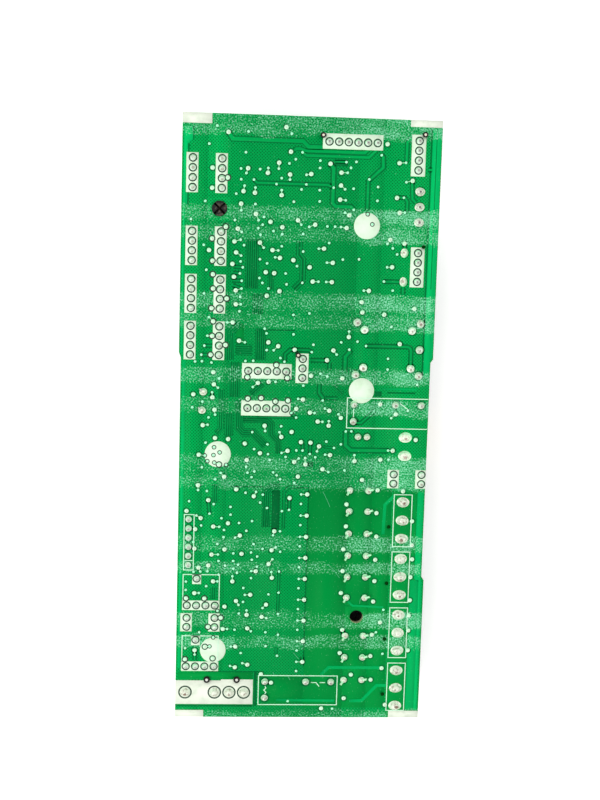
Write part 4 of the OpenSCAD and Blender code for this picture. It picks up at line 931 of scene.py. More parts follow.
# Lines of copper: width, bare gap on both sides, and the path's x and y in turn
TRACKS = [Track(pairs(path), width, gap) for width, gap, *path in (
    (1.0, 0.25, -21.9, 75.7, -20.8, 74.05, -2.7, 74.05, -1.3, 72.65, 2.6, 72.65),
    (0.75, 0.22, -5.0, 71.6, -4.4, 72.1, -3.3, 72.1, -2.0, 71.6, 13.3, 71.6, 14.2, 72.4),
    (0.7, 0.22, -2.8, 71.2, -1.8, 70.45, 14.4, 70.45, 16.6, 72.6),
    (0.85, 0.4, 4.5, 68.55, 5.4, 67.4, 5.4, 58.5, 6.2, 57.7, 10.2, 57.7, 10.9, 57.0),
    (0.5, 0.2, 5.7, 69.1, 8.6, 69.1), (0.55, 0.4, -15.1, 63.9, -14.3, 63.15, 4.0, 63.15, 5.5, 62.5),
    (0.7, 0.4, 17.75, 71.15, 18.15, 70.6, 18.25, 68.0, 14.7, 64.7), (0.6, 0.4, 14.45, 64.8, 14.45, 57.0),
    (0.6, 0.4, 24.15, 69.45, 24.25, 70.5, 24.25, 74.6, 25.0, 75.5, 26.0, 75.5),
    (0.55, 0.4, 25.9, 64.4, 26.15, 60.2, 27.0, 59.3), (0.5, 0.0, 20.0, 10.35, 29.2, 10.35),
    (0.6, 0.4, 30.1, 67.85, 31.0, 67.85), (0.5, 0.4, 22.6, 60.6, 24.2, 60.4, 24.85, 59.5, 24.85, 56.8),
    (0.4, 0.4, -19.8, 41.5, -17.6, 41.4), (0.4, 0.4, -20.0, 39.9, -18.2, 39.8),
    (0.4, 0.4, -20.2, 37.9, -17.7, 37.9), (0.4, 0.4, -20.0, 36.7, -17.7, 35.9),
    (0.4, 0.4, -27.0, 20.8, -24.9, 20.8), (0.4, 0.4, -27.7, 18.4, -25.8, 18.4),
    (0.55, 0.4, 19.5, 38.7, 24.0, 38.7), (0.6, 0.4, 24.6, 37.2, 24.6, 35.4),
    (0.5, 0.4, -3.4, 20.25, 0.4, 20.2, 1.1, 19.75), (0.5, 0.4, -3.4, 20.25, -4.6, 20.2, -5.9, 19.0, -5.9, 17.2),
    (0.55, 0.4, 0.9, 17.6, 5.2, 17.6), (0.5, 0.4, 5.9, 17.0, 5.9, 15.2),
    (0.8, 0.4, 11.0, 20.6, 11.1, 20.0, 10.0, 18.7, 10.0, 14.6),
    (0.6, 0.4, 15.4, 21.7, 26.2, 21.7, *np.ravel(corner((26.3, 20.6), 1.1, 90, 0)), 27.4, 16.4),
    (0.6, 0.4, 3.4, 11.4, 3.4, 9.0, 4.4, 7.8, 4.4, 7.0), (0.4, 0.4, 5.2, 7.6, 8.4, 7.6),
    (0.85, 0.4, 10.8, -1.15, 10.85, -4.9, 12.3, -6.2, 22.3, -6.15), (0.4, 0.4, 12.5, -0.9, 12.5, -1.8),
    (0.4, 0.4, -3.65, -19.4, -3.7, -22.6), (0.4, 0.4, -25.25, -20.3, -24.85, -23.95),
    (0.9, 0.0, 24.6, -18.2, 22.0, -20.9, 21.8, -29.0), (0.45, 0.22, -5.9, -39.3, -6.0, -50.9),
    (0.45, 0.22, -6.15, -60.6, -6.15, -62.5), (0.6, 0.0, 12.9, -47.6, 14.2, -48.8, 22.6, -49.2),
    (0.9, 0.0, 22.6, -66.2, 8.3, -66.2, 6.1, -68.4),
    (0.9, 0.0, 24.3, -71.2, 21.6, -71.2, 17.6, -75.6, 14.2, -75.6), (0.75, 0.0, -5.8, -75.5, 10.1, -75.6),
    (0.5, 0.4, 11.6, -55.6, 12.2, -57.0), (0.4, 0.4, 1.05, -63.3, 1.05, -64.6),
    (0.4, 0.4, -28.1, -61.6, -28.1, -64.4), (0.4, 0.4, -24.8, 8.5, -24.8, 7.3),
    (0.4, 0.4, -12.9, 46.3, -12.2, 46.6), (0.5, 0.4, 24.6, 46.2, 24.6, 48.7), (0.4, 0.4, -2.6, 2.3, -3.8, 3.4),
    (0.3, 0.2, -12.8, 2.2, -3.2, 2.2), (0.5, 0.4, 12.8, 1.2, 14.8, 1.2, 18.4, 4.6),
    (0.4, 0.4, -4.8, 12.8, -2.6, 12.8), (0.35, 0.2, 4.9, -5.4, 8.2, -5.7),
    (0.5, 0.22, -0.6, -16.2, -3.95, -16.5, -5.1, -17.7, -5.1, -27.8), (0.4, 0.4, -0.6, -4.6, -0.55, -6.3),
    (0.4, 0.4, 1.5, -4.6, 1.4, -7.2))]
# Groups of thin lines: their number, their pitch, and x and y of the middle in turn
BUNDLES = [track for row in (
    (6, 0.56, -15.1, 48.7, -15.1, 36.0), (3, 0.56, -10.1, 40.0, -10.1, 35.8),
    (2, 0.85, -2.9, 48.6, -2.9, 45.0, -1.9, 43.9, -1.9, 38.2, -4.0, 36.1), (5, 0.56, -12.4, 25.6, -12.4, 17.4),
    (4, 0.56, -18.0, 27.0, -20.4, 24.6, -20.4, 17.2), (5, 0.56, -18.9, 19.9, -14.6, 19.9),
    (5, 0.56, -19.0, 16.6, -19.0, 7.4), (3, 0.56, -22.4, 9.4, -22.4, -0.9, -23.6, -2.3),
    (4, 0.56, -17.6, 6.6, -17.6, -0.8, -16.4, -2.0, -13.9, -2.0, -10.5, -5.4), (4, 0.56, -20.2, 3.2, -20.2, -2.9),
    (3, 0.56, -16.5, 1.5, -10.1, 1.5, -9.0, 0.4, -9.0, -2.4, -7.1, -4.3, -7.0, -7.4),
    (4, 0.56, -6.4, -16.4, -8.4, -16.4, -9.8, -17.8, -9.8, -27.4), (3, 0.56, -23.4, -15.9, -23.4, -21.0),
    (3, 0.56, -23.4, -44.2, -23.4, -47.4), (5, 0.56, -13.4, 34.6, -13.4, 29.4), (2, 0.56, 7.4, 11.0, 9.6, 8.8),
    (3, 0.56, -11.7, 11.2, -14.7, 8.4)) for track in bundle(*row)]
# Lines with bare laminate beside them, and lines that lie on a plane
BORDERED = [track for track in TRACKS + BUNDLES if track.gap]
LAID = [track for track in TRACKS if not track.gap]


# Scores left in the flux across the face: x and y in turn
SCORES = [pairs(row) for row in (
    (-22.6, -11.4, -22.55, -13.7, -21.5, -15.2, -19.95, -16.5), (-20.8, -11.35, -20.65, -14.8, -20.0, -16.4),
    (5.2, -17.5, 6.4, -19.8, 7.25, -21.7), (7.2, -37.6, 8.8, -38.95, 10.4, -41.1), (2.95, -36.9, 4.15, -38.6),
    (16.4, -46.6, 16.1, -48.2), (-1.55, -62.0, 0.05, -63.8), (-6.55, -57.2, -5.15, -58.0),
    (-6.0, -56.2, -5.55, -58.2), (-6.8, -67.6, -6.5, -68.5), (-2.75, -68.8, -2.1, -69.8),
    (-32.2, -8.6, -30.9, -10.0), (-31.8, -8.3, -30.5, -9.6))]
# Bare laminate under the mask: left, lower, right and upper edge of each strip
BARE = [
    (18.2, 8.3, 20.0, 9.7), (21.5, 9.2, 29.0, 9.6), (-12.0, -77.2, -11.2, -67.7), (-33.0, -77.4, -12.2, -76.9),
    (5.6, 68.0, 9.0, 69.7), (30.4, 14.0, 30.8, 78.2), (-30.95, 73.4, -30.55, 76.9), (-11.0, 25.15, -3.4, 25.45),
    (-32.15, 57.0, -31.75, 72.5), (31.85, 37.0, 32.05, 78.2), (-25.0, -67.65, -10.8, -67.4),
    (1.25, -66.0, 1.5, -17.0), (-4.8, -16.7, 1.5, -16.45), (0.9, -11.0, 2.4, -9.5), (-8.35, -28.0, -6.2, -17.4),
    (-19.6, -16.6, -10.6, -16.35)]


@dataclass
class Copper:
    """Everything that the copper draws through the mask: solid planes, bare gaps and lines."""

    board: Board
    # Left, lower, right and upper edge of the plane under the switched channels
    channels: tuple[float, float, float, float] = (1.5, -77.6, 23.9, -16.6)

    def plates(self, outlines: Sequence[Path], top: Level) -> list[Shell]:
        """Flat pieces of copper on outlines in artwork coordinates."""
        return [plate(shifted(outline), self.board.layer(top)) for outline in outlines]

    def planes(self) -> Shell:
        """Unhatched copper: the switched channels, the mains side and the strips beside the outputs."""
        rows = [(-10.6, -76.4, self.channels[0], -68.9), (-32.6, -69.6, -12.3, -67.7),
                (24.1, self.board.low[1] + 0.3, 29.6, -17.2), (29.62, -41.5, 30.7, -17.2)]
        odd = [(-18.9, 21.5), (-16.8, 21.5), (-16.8, 26.5), (-17.5, 26.9), (-18.9, 25.5)]
        left, lower, right, upper = self.channels
        channels = pierced((left + ARTWORK_X, lower, right + ARTWORK_X, upper), *self.board.fixing,
                           self.board.layer(Level.PLANE))
        return joined(self.plates([*(rectangle(*row) for row in rows), odd], Level.PLANE) + channels)

    def edge_strips(self) -> Shell:
        """Heavier copper that lies close under the mask along both edges."""
        right = [(30.85, 13.8), (32.5, 13.8), (32.5, 18.0), (33.15, 19.2), (33.15, 78.3), (30.85, 78.3)]
        lower = [(32.0, -78.2), (32.9, -78.2), (32.9, -42.0), (32.4, -41.2), (32.4, -17.2), (30.75, -17.2),
                 (30.75, -41.2), (32.0, -42.0)]
        left = rectangle(-32.7, -66.6, -31.9, 16.8)
        upper = [(-33.2, 18.8), (-32.75, 18.8), (-32.7, 57.0), (-32.15, 57.0), (-32.15, 72.5), (-30.95, 73.4),
                 (-30.95, 76.9), (-33.2, 76.9)]
        return joined(self.plates((right, lower, left, upper), Level.STRIP))

    def feeds(self) -> Shell:
        """Lines laid on the planes, with no bare gap beside them, and the land beside the output pins."""
        land = self.plates([rectangle(29.7, -78.2, 31.98, -41.6)], Level.STRIP)
        return joined(land + [ribbon(shifted(t.path), t.width, self.board.layer(Level.TRACK)) for t in LAID])

    def gaps(self, rings: Sequence[tuple[np.ndarray, float, float]]) -> Shell:
        """Bare laminate under the mask: on both sides of each line, in strips and round each pad.

        Args:
            rings: centres, and the inner and outer radius of the bare ring round each.
        """
        span = self.board.layer(Level.GAP)
        shells = [ribbon(shifted(t.path), t.width + 2 * t.gap, span, shoulder=0.01) for t in BORDERED]
        shells += self.plates([rectangle(*row) for row in BARE], Level.GAP)
        return joined(shells + [collar(centre, outer, inner, span, 20) for at, inner, outer in rings for centre in at])

    def lines(self) -> Shell:
        """Lines of copper, standing a little proud through the mask."""
        return joined([ribbon(shifted(t.path), t.width, self.board.layer(Level.TRACK)) for t in BORDERED])


@dataclass
class Legend:
    """Printed legend: white blocks round the pin rows, discs, outlines of parts and the corner bars."""

    board: Board
    # Widths of a drawn line and of a score
    line: float = 0.24
    score: float = 0.1248
    block_w: float = 3.06
    block_shift: float = -0.12
    dip8_block_l: float = 10.1
    dip4_block_l: float = 5.0
    dip_row: float = 7.5

    def middle(self, node: str) -> np.ndarray:
        """Centre of a CAD node in the plane."""
        low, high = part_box(node)
        return (np.array(low) + np.array(high))[:2] / 2 / MM

    def block(self, centre: Sequence[float], length_x: float, length_y: float) -> Path:
        """Rectangle round a centre, cut off at the board's edge."""
        edge = [float(self.board.edge_x(side, centre[1])) for side in (0, 1)]
        x = centre[0] + self.block_shift
        x0, x1 = max(x - length_x / 2, edge[0] + INSET), min(x + length_x / 2, edge[1] - INSET)
        return rectangle(x0, centre[1] - length_y / 2, x1, centre[1] + length_y / 2)

    def blocks(self) -> list[Path]:
        """White blocks, placed by the parts whose pins they surround."""
        kinds = (("optocoupler", 4, self.dip8_block_l), ("small_optocoupler", 2, self.dip4_block_l))
        made = [self.block(self.middle(f"{kind}_{n + 1}") + (side * self.dip_row / 2, 0), self.block_w, length)
                for kind, count, length in kinds for n in range(count) for side in (-1, 1)]
        rows = {"header_top_6way": (15.6, 3.9), "header_top_4way": (3.7, 10.6), "header_side_4way": (3.6, 10.4),
                "header_mid_3way": (3.3, 7.8), "header_inner_5way_upper": (13.0, 4.0),
                "header_inner_5way_lower": (13.0, 4.0)}
        made += [self.block(self.middle(node), *size) for node, size in rows.items()]
        for n in (1, 2):
            x, y = self.middle(f"small_relay_{n}")
            made += [rectangle(x - 5.0, y - 5.0, x + 5.0, y - 2.35), rectangle(x - 2.4, y + 2.2, x - 0.05, y + 4.9)]
        return made

    def broad(self) -> list[Path]:
        """White land round the mains pins, and the four corner bars, a hair inside the edges."""
        left, upper_left, upper_right, right = (
            float(self.board.edge_x(side, y)) + (-INSET if side else INSET)
            for side, y in ((0, -73.0), (0, 79.0), (1, 79.0), (1, -79.0)))
        bottom, top = float(self.board.low[1]) + INSET, float(self.board.high[1]) - INSET
        land = [(left, -76.7), (-12.05, -76.7), (-12.05, -69.75), (-20.75, -69.75), (-20.75, -70.05), (left, -70.05)]
        return [land, rectangle(upper_left, 77.7, -25.95, top), rectangle(25.15, 78.6, upper_right, top),
                rectangle(left, bottom, -25.35, -78.4), rectangle(25.25, bottom, right, -78.4)]

    def inked(self, places: np.ndarray, reach: float) -> np.ndarray:
        """Which places lie on, or within reach of, a white block or disc."""
        hit = np.zeros(len(places), bool)
        for block in self.blocks() + self.broad():
            low, high = np.min(block, 0) - reach, np.max(block, 0) + reach
            hit |= np.all((places > low) & (places < high), 1)
        for x, y, radius in self.discs():
            hit |= np.hypot(places[:, 0] - x - ARTWORK_X, places[:, 1] - y) < radius + reach
        return hit

    def discs(self) -> np.ndarray:
        """Centres and radii of the white discs."""
        return np.array([(14.5, 52.95, 3.4), (14.6, 9.8, 3.35), (-23.0, -7.9, 3.45), (-23.25, -61.5, 3.45)])

    def outlines(self) -> list[tuple[Path, bool]]:
        """Drawn lines: a path and whether it closes."""
        right = float(self.board.edge_x(1, 4.0)) - ARTWORK_X - 0.2
        boxes = [(-31.5, -39.4, -28.9, -24.3), (24.45, -32.3, 29.3, -18.05), (24.45, -47.75, 29.3, -33.75),
                 (24.45, -63.3, 29.3, -49.3), (24.45, -78.3, 29.3, -64.85), (-10.7, -76.8, 10.75, -68.6)]
        strokes = [(-31.3, -36.8, -29.1, -36.8), (right, 7.85, 10.95, 7.85, 10.95, -0.2, right, -0.2),
                   (12.7, 5.0, 12.7, 2.7), (25.0, 6.6, 27.4, 4.9), (3.6, -70.5, 5.0, -70.5, 5.85, -71.6),
                   (6.0, -70.5, 7.45, -70.5), (-8.9, -71.6, -8.6, -72.1, -9.2, -72.7, -8.6, -73.3, -8.9, -73.8)]
        for n in (1, 2):
            x, y = self.middle(f"small_relay_{n}") - (ARTWORK_X, 0)
            strokes.append((x - 4.85, y - 2.5, x - 4.85, y + 4.8, x + 4.85, y + 4.8, x + 4.85, y - 2.5))
        return [(rectangle(*row), True) for row in boxes] + [(pairs(row), False) for row in strokes]

    def thin(self) -> Shell:
        """Ink of the narrow blocks and the discs."""
        shells = [plate(block, self.board.layer(Level.INK)) for block in self.blocks()]
        return joined(shells + [disc((x + ARTWORK_X, y), radius, self.board.layer(Level.DISC), 48)
                                for x, y, radius in self.discs()])

    def strokes(self) -> Shell:
        """Ink of the drawn lines."""
        span = self.board.layer(Level.INK)
        return joined([ribbon(shifted(path), self.line, span, closed, 0.02) for path, closed in self.outlines()])

    def scores(self) -> Shell:
        """Hair-thin scores in the flux, and a bare mark or two where a tool slipped."""
        span = self.board.layer(Level.SCORE)
        return joined([ribbon(shifted(path), self.score, span, shoulder=0.01) for path in SCORES])

    def full(self) -> Shell:
        """Ink of the wide lands, which went on thicker."""
        return joined([plate(block, self.board.layer(Level.INK)) for block in self.broad()])


@dataclass
class Joints:
    """Solder joints and drops, one for each solid of the CAD's solder nodes."""

    board: Board
    fillet_steps: int = 6
    # Height of the upright foot of a joint; a drop has half of it
    foot: float = 0.02
    # Radius of the top as a share of the joint's radius, and the rings of its rounding as shares of top and height
    core: float = 0.42
    rounding: tuple[tuple[float, float], ...] = ((0.72, 1.03), (0.3, 1.05))
    # A joint with a larger radius, or with at least this much added along one way, is a wide one
    wide_r: float = 1.3
    oval: float = 0.1
    # Share of the quarter turn that a drop's profile takes
    short: float = 0.86
    # Share of the radius by which a joint is out of round
    wobble: float = 0.025

    def fillet(self, radius: float, height: float, core: float) -> Path:
        """Profile of a joint: a low foot, a hollow flank r = R - (R - core) s, z = h s^1.5, and a rounded top."""
        share = np.linspace(0, 1, self.fillet_steps + 1)
        flank = [(radius - (radius - core) * s, self.foot + height * s ** 1.5) for s in share]
        return [(radius, 0.0), *flank, *((core * inward, height * up) for inward, up in self.rounding)]

    def dome(self, radius: float, height: float, steps: int = 4) -> Path:
        """Profile of a drop: a quarter ellipse from the rim to just short of the pole."""
        angle = np.linspace(0, TURN / 4 * self.short, steps + 1)
        return [(radius, 0.0), *[(radius * np.cos(a), height * np.sin(a) + self.foot / 2) for a in angle[1:]]]

    def places(self, node: str) -> tuple[np.ndarray, np.ndarray, np.ndarray]:
        """Axis on the soldered face, size and height of each solid of a node."""
        low, high = islands(node)
        centre = np.c_[(low + high)[:, :2] / 2, np.full(len(low), self.board.face)]
        return centre, (high - low)[:, :2], high[:, 2] - self.board.face

    def shell(self, node: str, segments: int, width: float = 1.0, wide: bool | None = None) -> Shell:
        """Joints of a node, grouped by their size so that each size has its own profile.

        Args:
            node: the CAD node.
            segments: points round a joint.
            width: radius at the foot as a share of the CAD joint's; an oval joint keeps half of the rest.
            wide: whether the wide and oval joints or the small round ones are made, or all where it is None.

        Returns:
            One closed shell a joint.
        """
        centre, size, height = self.places(node)
        radius = size.min(1) / 2
        sizes = np.round(np.c_[radius, height, size.max(1) / 2 - radius], 2)
        shells = []
        for key in sorted(set(map(tuple, sizes))):
            oval = key[2] >= self.oval
            if wide is not None and (key[0] > self.wide_r or oval) != wide:
                continue
            same = np.all(np.abs(sizes - key) < 0.005, 1)
            along_y = size[same][:, 1] > size[same][:, 0] + 0.05
            profile = self.fillet(key[0] * ((1 + width) / 2 if oval else width), key[1], key[0] * self.core)
            for flip in (False, True):
                chosen = centre[same][along_y == flip]
                if not len(chosen):
                    continue
                made = turned(chosen[:, [1, 0, 2]] if flip else chosen, profile, segments, key[2], self.wobble)
                if flip:
                    made = Shell(made.points[:, [1, 0, 2]], [f[:, ::-1] for f in made.faces], made.tip)
                shells.append(made)
        return joined(shells)


# Finish of each CAD node, by how its name starts
WEARS = {
    "nylon_ivory": ("header_top_", "header_mid_", "header_inner_"),
    "nylon_white": ("mains_header", "power_header"),
    "nylon_black": ("output_header_", "header_side_"),
    "strip_black": ("program_header",),
    "tinned_pin": ("signal_pins", "power_pins", "output_pins", "program_pins"),
    "tinned_lead": ("dip_leads", "small_relay_pins", "relay_pins", "transformer_pins", "radial_leads", "gull_leads",
                    "chip_ends"),
    "dipped_lead": ("varistor_leads",),
    "epoxy_black": ("optocoupler_", "small_optocoupler_", "controller", "driver_chips"),
    "epoxy_white": ("optotriacs",),
    "relay_white": ("small_relay_1", "small_relay_2"),
    "relay_black": ("relay_cover_",),
    "sealing_black": ("relay_base_",),
    "ferrite": ("transformer_core",),
    "phenolic": ("transformer_bobbin",),
    "coil_tape": ("transformer_winding",),
    "sleeve": ("electrolytic_can",),
    "rubber": ("electrolytic_bung",),
    "film_yellow": ("film_capacitor",),
    "dip_blue": ("ceramic_capacitor", "varistors"),
    "can_nickel": ("crystal_can",),
    "can_aluminium": ("bulk_capacitors",),
    "chip_ceramic": ("chip_bodies",),
    "post_black": ("support_post", "fixing_spacer"),
    "laminate": ("board",),
}


def pegs(board: Board, nodes: Sequence[str]) -> tuple[np.ndarray, np.ndarray, np.ndarray]:
    """Ends of the locating pegs that stand out of the soldered face.

    The points of a housing above the face are sorted along X, and parted where the next one is 2 mm away.

    Args:
        board: the laminate.
        nodes: housings, with or without pegs.

    Returns:
        Centres in the plane, shape (n, 2), the radii of the shadow round each, and the heights of their ends.
    """
    centres, radii, tops = [], [], []
    for node in sorted(nodes):
        clear = PEG_CLEAR[0 if node == "mains_header" else 1 if node.startswith(WEARS["nylon_black"]) else 2]
        points = points_of(node)
        points = points[points[:, 2] > board.face + 0.1]
        points = points[np.argsort(points[:, 0])]
        for group in np.split(points, np.flatnonzero(np.diff(points[:, 0]) > 2) + 1) if len(points) else []:
            low, high = group.min(0), group.max(0)
            centres.append((low + high)[:2] / 2)
            radii.append((high - low)[0] / 2 + clear)
            tops.append(high[2])
    return np.array(centres), np.array(radii), np.array(tops)


def necks(board: Board, pads: np.ndarray, vias: np.ndarray, reach: float = 1.78, width: float = 0.2) -> Shell:
    """Short tinned lines that join a test pad to a via close by.

    Args:
        board: the laminate.
        pads: centres of the test pads, shape (n, 2).
        vias: centres of the vias, shape (m, 2).
        reach: largest distance that has a line.
        width: its width.

    Returns:
        One strip a pair.
    """
    apart = np.linalg.norm(pads[:, None] - vias[None], axis=-1)
    nearest = apart.argmin(1)
    chosen = np.flatnonzero(apart.min(1) < reach)
    return joined([ribbon([tuple(pads[i]), tuple(vias[nearest[i]])], width, board.layer(Level.NECK)) for i in chosen])


# ---------------------------------------------------------------- finishes


def finishes() -> dict[str, Any]:
    """Every finish by the name that the rest of the file uses."""
    return {
        "laminate": Laminate("FR4 laminate, masked green", "10964a", "007a38", "c9cfa0", "8aa070"),
        "mask_hatched": SolderMask("Solder mask over hatched copper", "009446", "006429"),
        "mask_gap": SolderMask("Solder mask over bare laminate", "006530"),
        "mask_plane": SolderMask("Solder mask over plane copper", "008236"),
        "mask_bright": SolderMask("Solder mask over heavy copper", "00a053"),
        "mask_line": SolderMask("Solder mask over copper lines", "008b42"),
        "mask_feed": SolderMask("Solder mask over lines on a plane", "00954c"),
        "ink": Ink("Epoxy legend ink"),
        "ink_thin": Ink("Epoxy legend ink, thin over the mask", "dff6da", "d2edcc"),
        "ink_stroke": Ink("Epoxy legend ink, drawn lines", "cef8da", "bcecc8"),
        "score": Ink("Dried flux, scored", "4fb683", "3fa874"),
        # Bare laminate round the pads, made darker than its own tone by painted shade round the raised joints
        "ring": Moulded("Bare laminate ring", "06321a", "0e4022", 0.5),
        "peg_dark": Moulded("Shadowed hole", "0c0f0b", "15170f", 0.8, shine=0.3),
        "peg_green": Moulded("Shadowed hole, green walls", "003f0a", "002c04", 0.8, shine=0.05),
        "solder": Solder("Tin-lead solder on pins", "e8fcea", "c0c8b2", dull_from=0.5, dull_to=0.7, pits=0.3),
        "solder_tall": Solder("Tin-lead solder on power pins", "eefae8", "a1967f", dull_to=0.76, pits=0.5),
        "solder_wide": Solder("Tin-lead solder on wide pins", "e7eedb", "86725f", dull_from=0.64, dull_to=0.84,
                              rim="d4e8ce", pits=0.6),
        "solder_leads": Solder("Tin-lead solder on leads", "f0fce4", "c0b09f", dull_from=0.6, dull_to=0.8, pits=0.45),
        "pad": Solder("Tinned test pad", "cdf2d2", "c3b8a4", 0.42, 0.2, 0.62, 0.9, "a4f0b8"),
        "via": Solder("Tinned via", "a4fac8", "9cf0c0", 0.45, 0.1, 0.6, 0.9, "8ef2b8"),
        "dipped_lead": Solder("Solder-dipped lead"),
        "nylon_ivory": Moulded("Nylon, natural, moulded", "dfd7c2", "d2c8ae", 0.45, 0.2, 0.01),
        "nylon_white": Moulded("Nylon, white, moulded", "e0dfd6", "d2d0c5", 0.42, 0.2, 0.01),
        "nylon_black": Moulded("Nylon, black, moulded", "0a0b0a", "101110", 0.6, 0.2, 0.01),
        "strip_black": Moulded("Polyester, black, moulded", "1a1b1c", "232425", 0.5, 0.15),
        "epoxy_black": Moulded("Transfer-moulded epoxy, black", "1d1e20", "27282a", 0.55, 0.12, 0.015),
        "epoxy_white": Moulded("Transfer-moulded epoxy, white", "e4e3dc", "d8d6cb", 0.5, 0.12),
        "relay_white": Moulded("Polyester, white, sealed case", "e6e5dd", "dad8cd", 0.4, 0.3, 0.01),
        "relay_black": Moulded("Polyester, black, sealed case", "17181a", "202124", 0.36, 0.3, 0.01),
        "sealing_black": Moulded("Sealing resin, black", "101112", "1c1c1c", 0.25, 1.2, 0.05, coat=0.3),
        "ferrite": Moulded("Sintered ferrite", "2e2f31", "3c3d3f", 0.62, 0.18, 0.03, 3.0),
        "phenolic": Moulded("Phenolic, black, moulded", "161514", "211f1d", 0.5, 0.2, 0.015),
        "coil_tape": Wound("Polyester tape", "e0bd25", "a98512", 3.6),
        "sleeve": Moulded("PVC sleeve, black", "15171c", "1d2026", 0.3, 0.6, 0.008),
        "rubber": Moulded("Butyl rubber", "141414", "1f1e1d", 0.75, 0.2, 0.02),
        "film_yellow": Moulded("Polypropylene box, yellow", "e0a92a", "d39c20", 0.35, 0.3, 0.01),
        "dip_blue": Moulded("Dipped epoxy coat, blue", "1f4f96", "2a60ab", 0.24, 0.8, 0.03, coat=0.4),
        "chip_ceramic": Moulded("Fired ceramic chip", "3c342e", "6a5b4b", 0.55, 0.15, 0.01, 2.4),
        "post_black": Moulded("Nylon, black, dusty", "040403", "4a4236", 0.85, 0.3, 0.05, 0.8, spread=(0.49, 0.6)),
        "tinned_pin": Metal("Tin-plated brass", "cfccc6", "b9b6b0", 0.3),
        "tinned_lead": Metal("Tin-plated lead", "d8d6d2", "c2c0bc", 0.32),
        "can_nickel": Metal("Nickel-plated can", "c9c8c4", "b7b5b0", 0.26, (2.0, 0.15, 0.15)),
        "can_aluminium": Metal("Drawn aluminium can", "dcdddd", "cbcccd", 0.3, (0.2, 0.2, 2.5)),
    }


# ---------------------------------------------------------------- studio


@dataclass
class Studio:
    """Pale floor, soft light from all round and above, and the camera."""

    eye_mm: tuple[float, float, float] = (-22.23, 46.92, 330.75)
    right: tuple[float, float, float] = (0.99763526, 0.02881247, 0.06239974)
    up: tuple[float, float, float] = (-0.02065463, 0.99160526, -0.12764168)
    lens_mm: float = 54.0
    horizon: float = 1.22
    zenith: float = 0.12
    key_w: float = 4.4
    fill_w: float = 1.1
    table: float = 0.35

    def camera(self) -> None:
        """Camera straight over the board, leaning a little towards its far end."""
        data = bpy.data.cameras.new("camera")
        data.lens = self.lens_mm
        data.clip_start, data.clip_end = 0.01, 20
        camera = bpy.data.objects.new("camera", data)
        bpy.context.scene.collection.objects.link(camera)
        camera.rotation_mode = "QUATERNION"
        right, up = Vector(self.right), Vector(self.up)
        camera.rotation_quaternion = Matrix((right, up, right.cross(up))).transposed().to_quaternion()
        camera.location = Vector(self.eye_mm) * MM
        bpy.context.scene.camera = camera

    def light(self, name: str, place: tuple[float, float, float], size: float, power: float) -> None:
        """Square soft light that faces the board."""
        data = bpy.data.lights.new(name, "AREA")
        data.size, data.energy = size, power
        lamp = bpy.data.objects.new(name, data)
        lamp.location = place
        lamp.rotation_mode = "QUATERNION"
        lamp.rotation_quaternion = (-Vector(place)).to_track_quat("-Z", "Y")
        bpy.context.scene.collection.objects.link(lamp)

    def floor(self) -> None:
        """Floor under the part, well past the camera's view."""
        mesh = bpy.data.meshes.new("floor")
        half = 3.0
        mesh.from_pydata([(x, y, 0.0) for x, y in rectangle(-half, -half, half, half)], [], [(0, 1, 2, 3)])
        paint = Painter("Light table, opal acrylic", 0.9)
        clouds = add(paint.tree, "TexNoise", {"Vector": paint.place, "Scale": per_metre(40.0), "Detail": 2.0})
        clouds = add(paint.tree, "MapRange", {"Value": clouds, 1: 0.4, 2: 0.6}, **SOFT)
        tone = add(paint.tree, "Mix", {"Factor": clouds, 6: "fcfcfb", 7: "fafaf9"}, **COLOURS)
        paint.dress(Base_Color=tone, Emission_Color=tone, Emission_Strength=self.table)
        mesh.materials.append(paint.material)
        floor = bpy.data.objects.new("floor", mesh)
        bpy.context.scene.collection.objects.link(floor)

    def surround(self) -> bpy.types.World:
        """White tent, darker overhead, where the camera looks through it."""
        world = bpy.data.worlds.new("studio")
        world.use_nodes = True
        tree = world.node_tree
        background = tree.nodes["Background"]
        upward = add(tree, "SeparateXYZ", {0: add(tree, "TexCoord", out="Generated")}, 2)
        strength = add(tree, "MapRange", {"Value": upward, 1: 0.7, 2: 0.95, 3: self.horizon, 4: self.zenith}, **SOFT)
        tree.links.new(strength, background.inputs["Strength"])
        background.inputs["Color"].default_value = linear("fefeff")
        return world

    def build(self) -> None:
        """Makes the camera, the lights and the floor."""
        self.camera()
        self.floor()
        self.light("key", (-0.5, -0.25, 0.85), 0.7, self.key_w)
        self.light("fill", (0.7, 0.5, 0.6), 0.9, self.fill_w)
        bpy.context.scene.world = self.surround()
        bpy.context.scene.view_settings.view_transform = "Standard"


def peg_pieces(board: Board) -> dict[str, Shell]:
    """Painted shade at the pegs: caps on the pegs of the black housings, dark green as a shadowed hole, and a dark
    disc and collar of painted shade round each peg of the pale ones.
    """
    housings = [n for n in frame["nodes"] if "header_" in n or n == "mains_header"]
    black = [n for n in housings if n.startswith(WEARS["nylon_black"])]
    foot, hole = board.layer(Level.HOLE)
    # Painted shade: a dark green cap on each black peg's end, as a shadowed hole
    tips = [disc(centre, radius, (foot, end + 0.01), 24) for centre, radius, end in zip(*pegs(board, black))]
    holes, shade_collars = [], []
    for centre, radius, end in zip(*pegs(board, [n for n in housings if n not in black])):
        inner, over = (0.4, 0.08) if radius > 0.8 else (0.34, 0.02)
        # Painted shade: a dark disc in the hole and a dark collar round the pale peg's end
        holes.append(disc(centre, radius, (foot, hole), 24))
        shade_collars.append(collar(centre, radius, inner, (foot, end + over), 24))
    return {"peg_tips": joined(tips), "peg_holes": joined(holes), "peg_shadows": joined(shade_collars)}


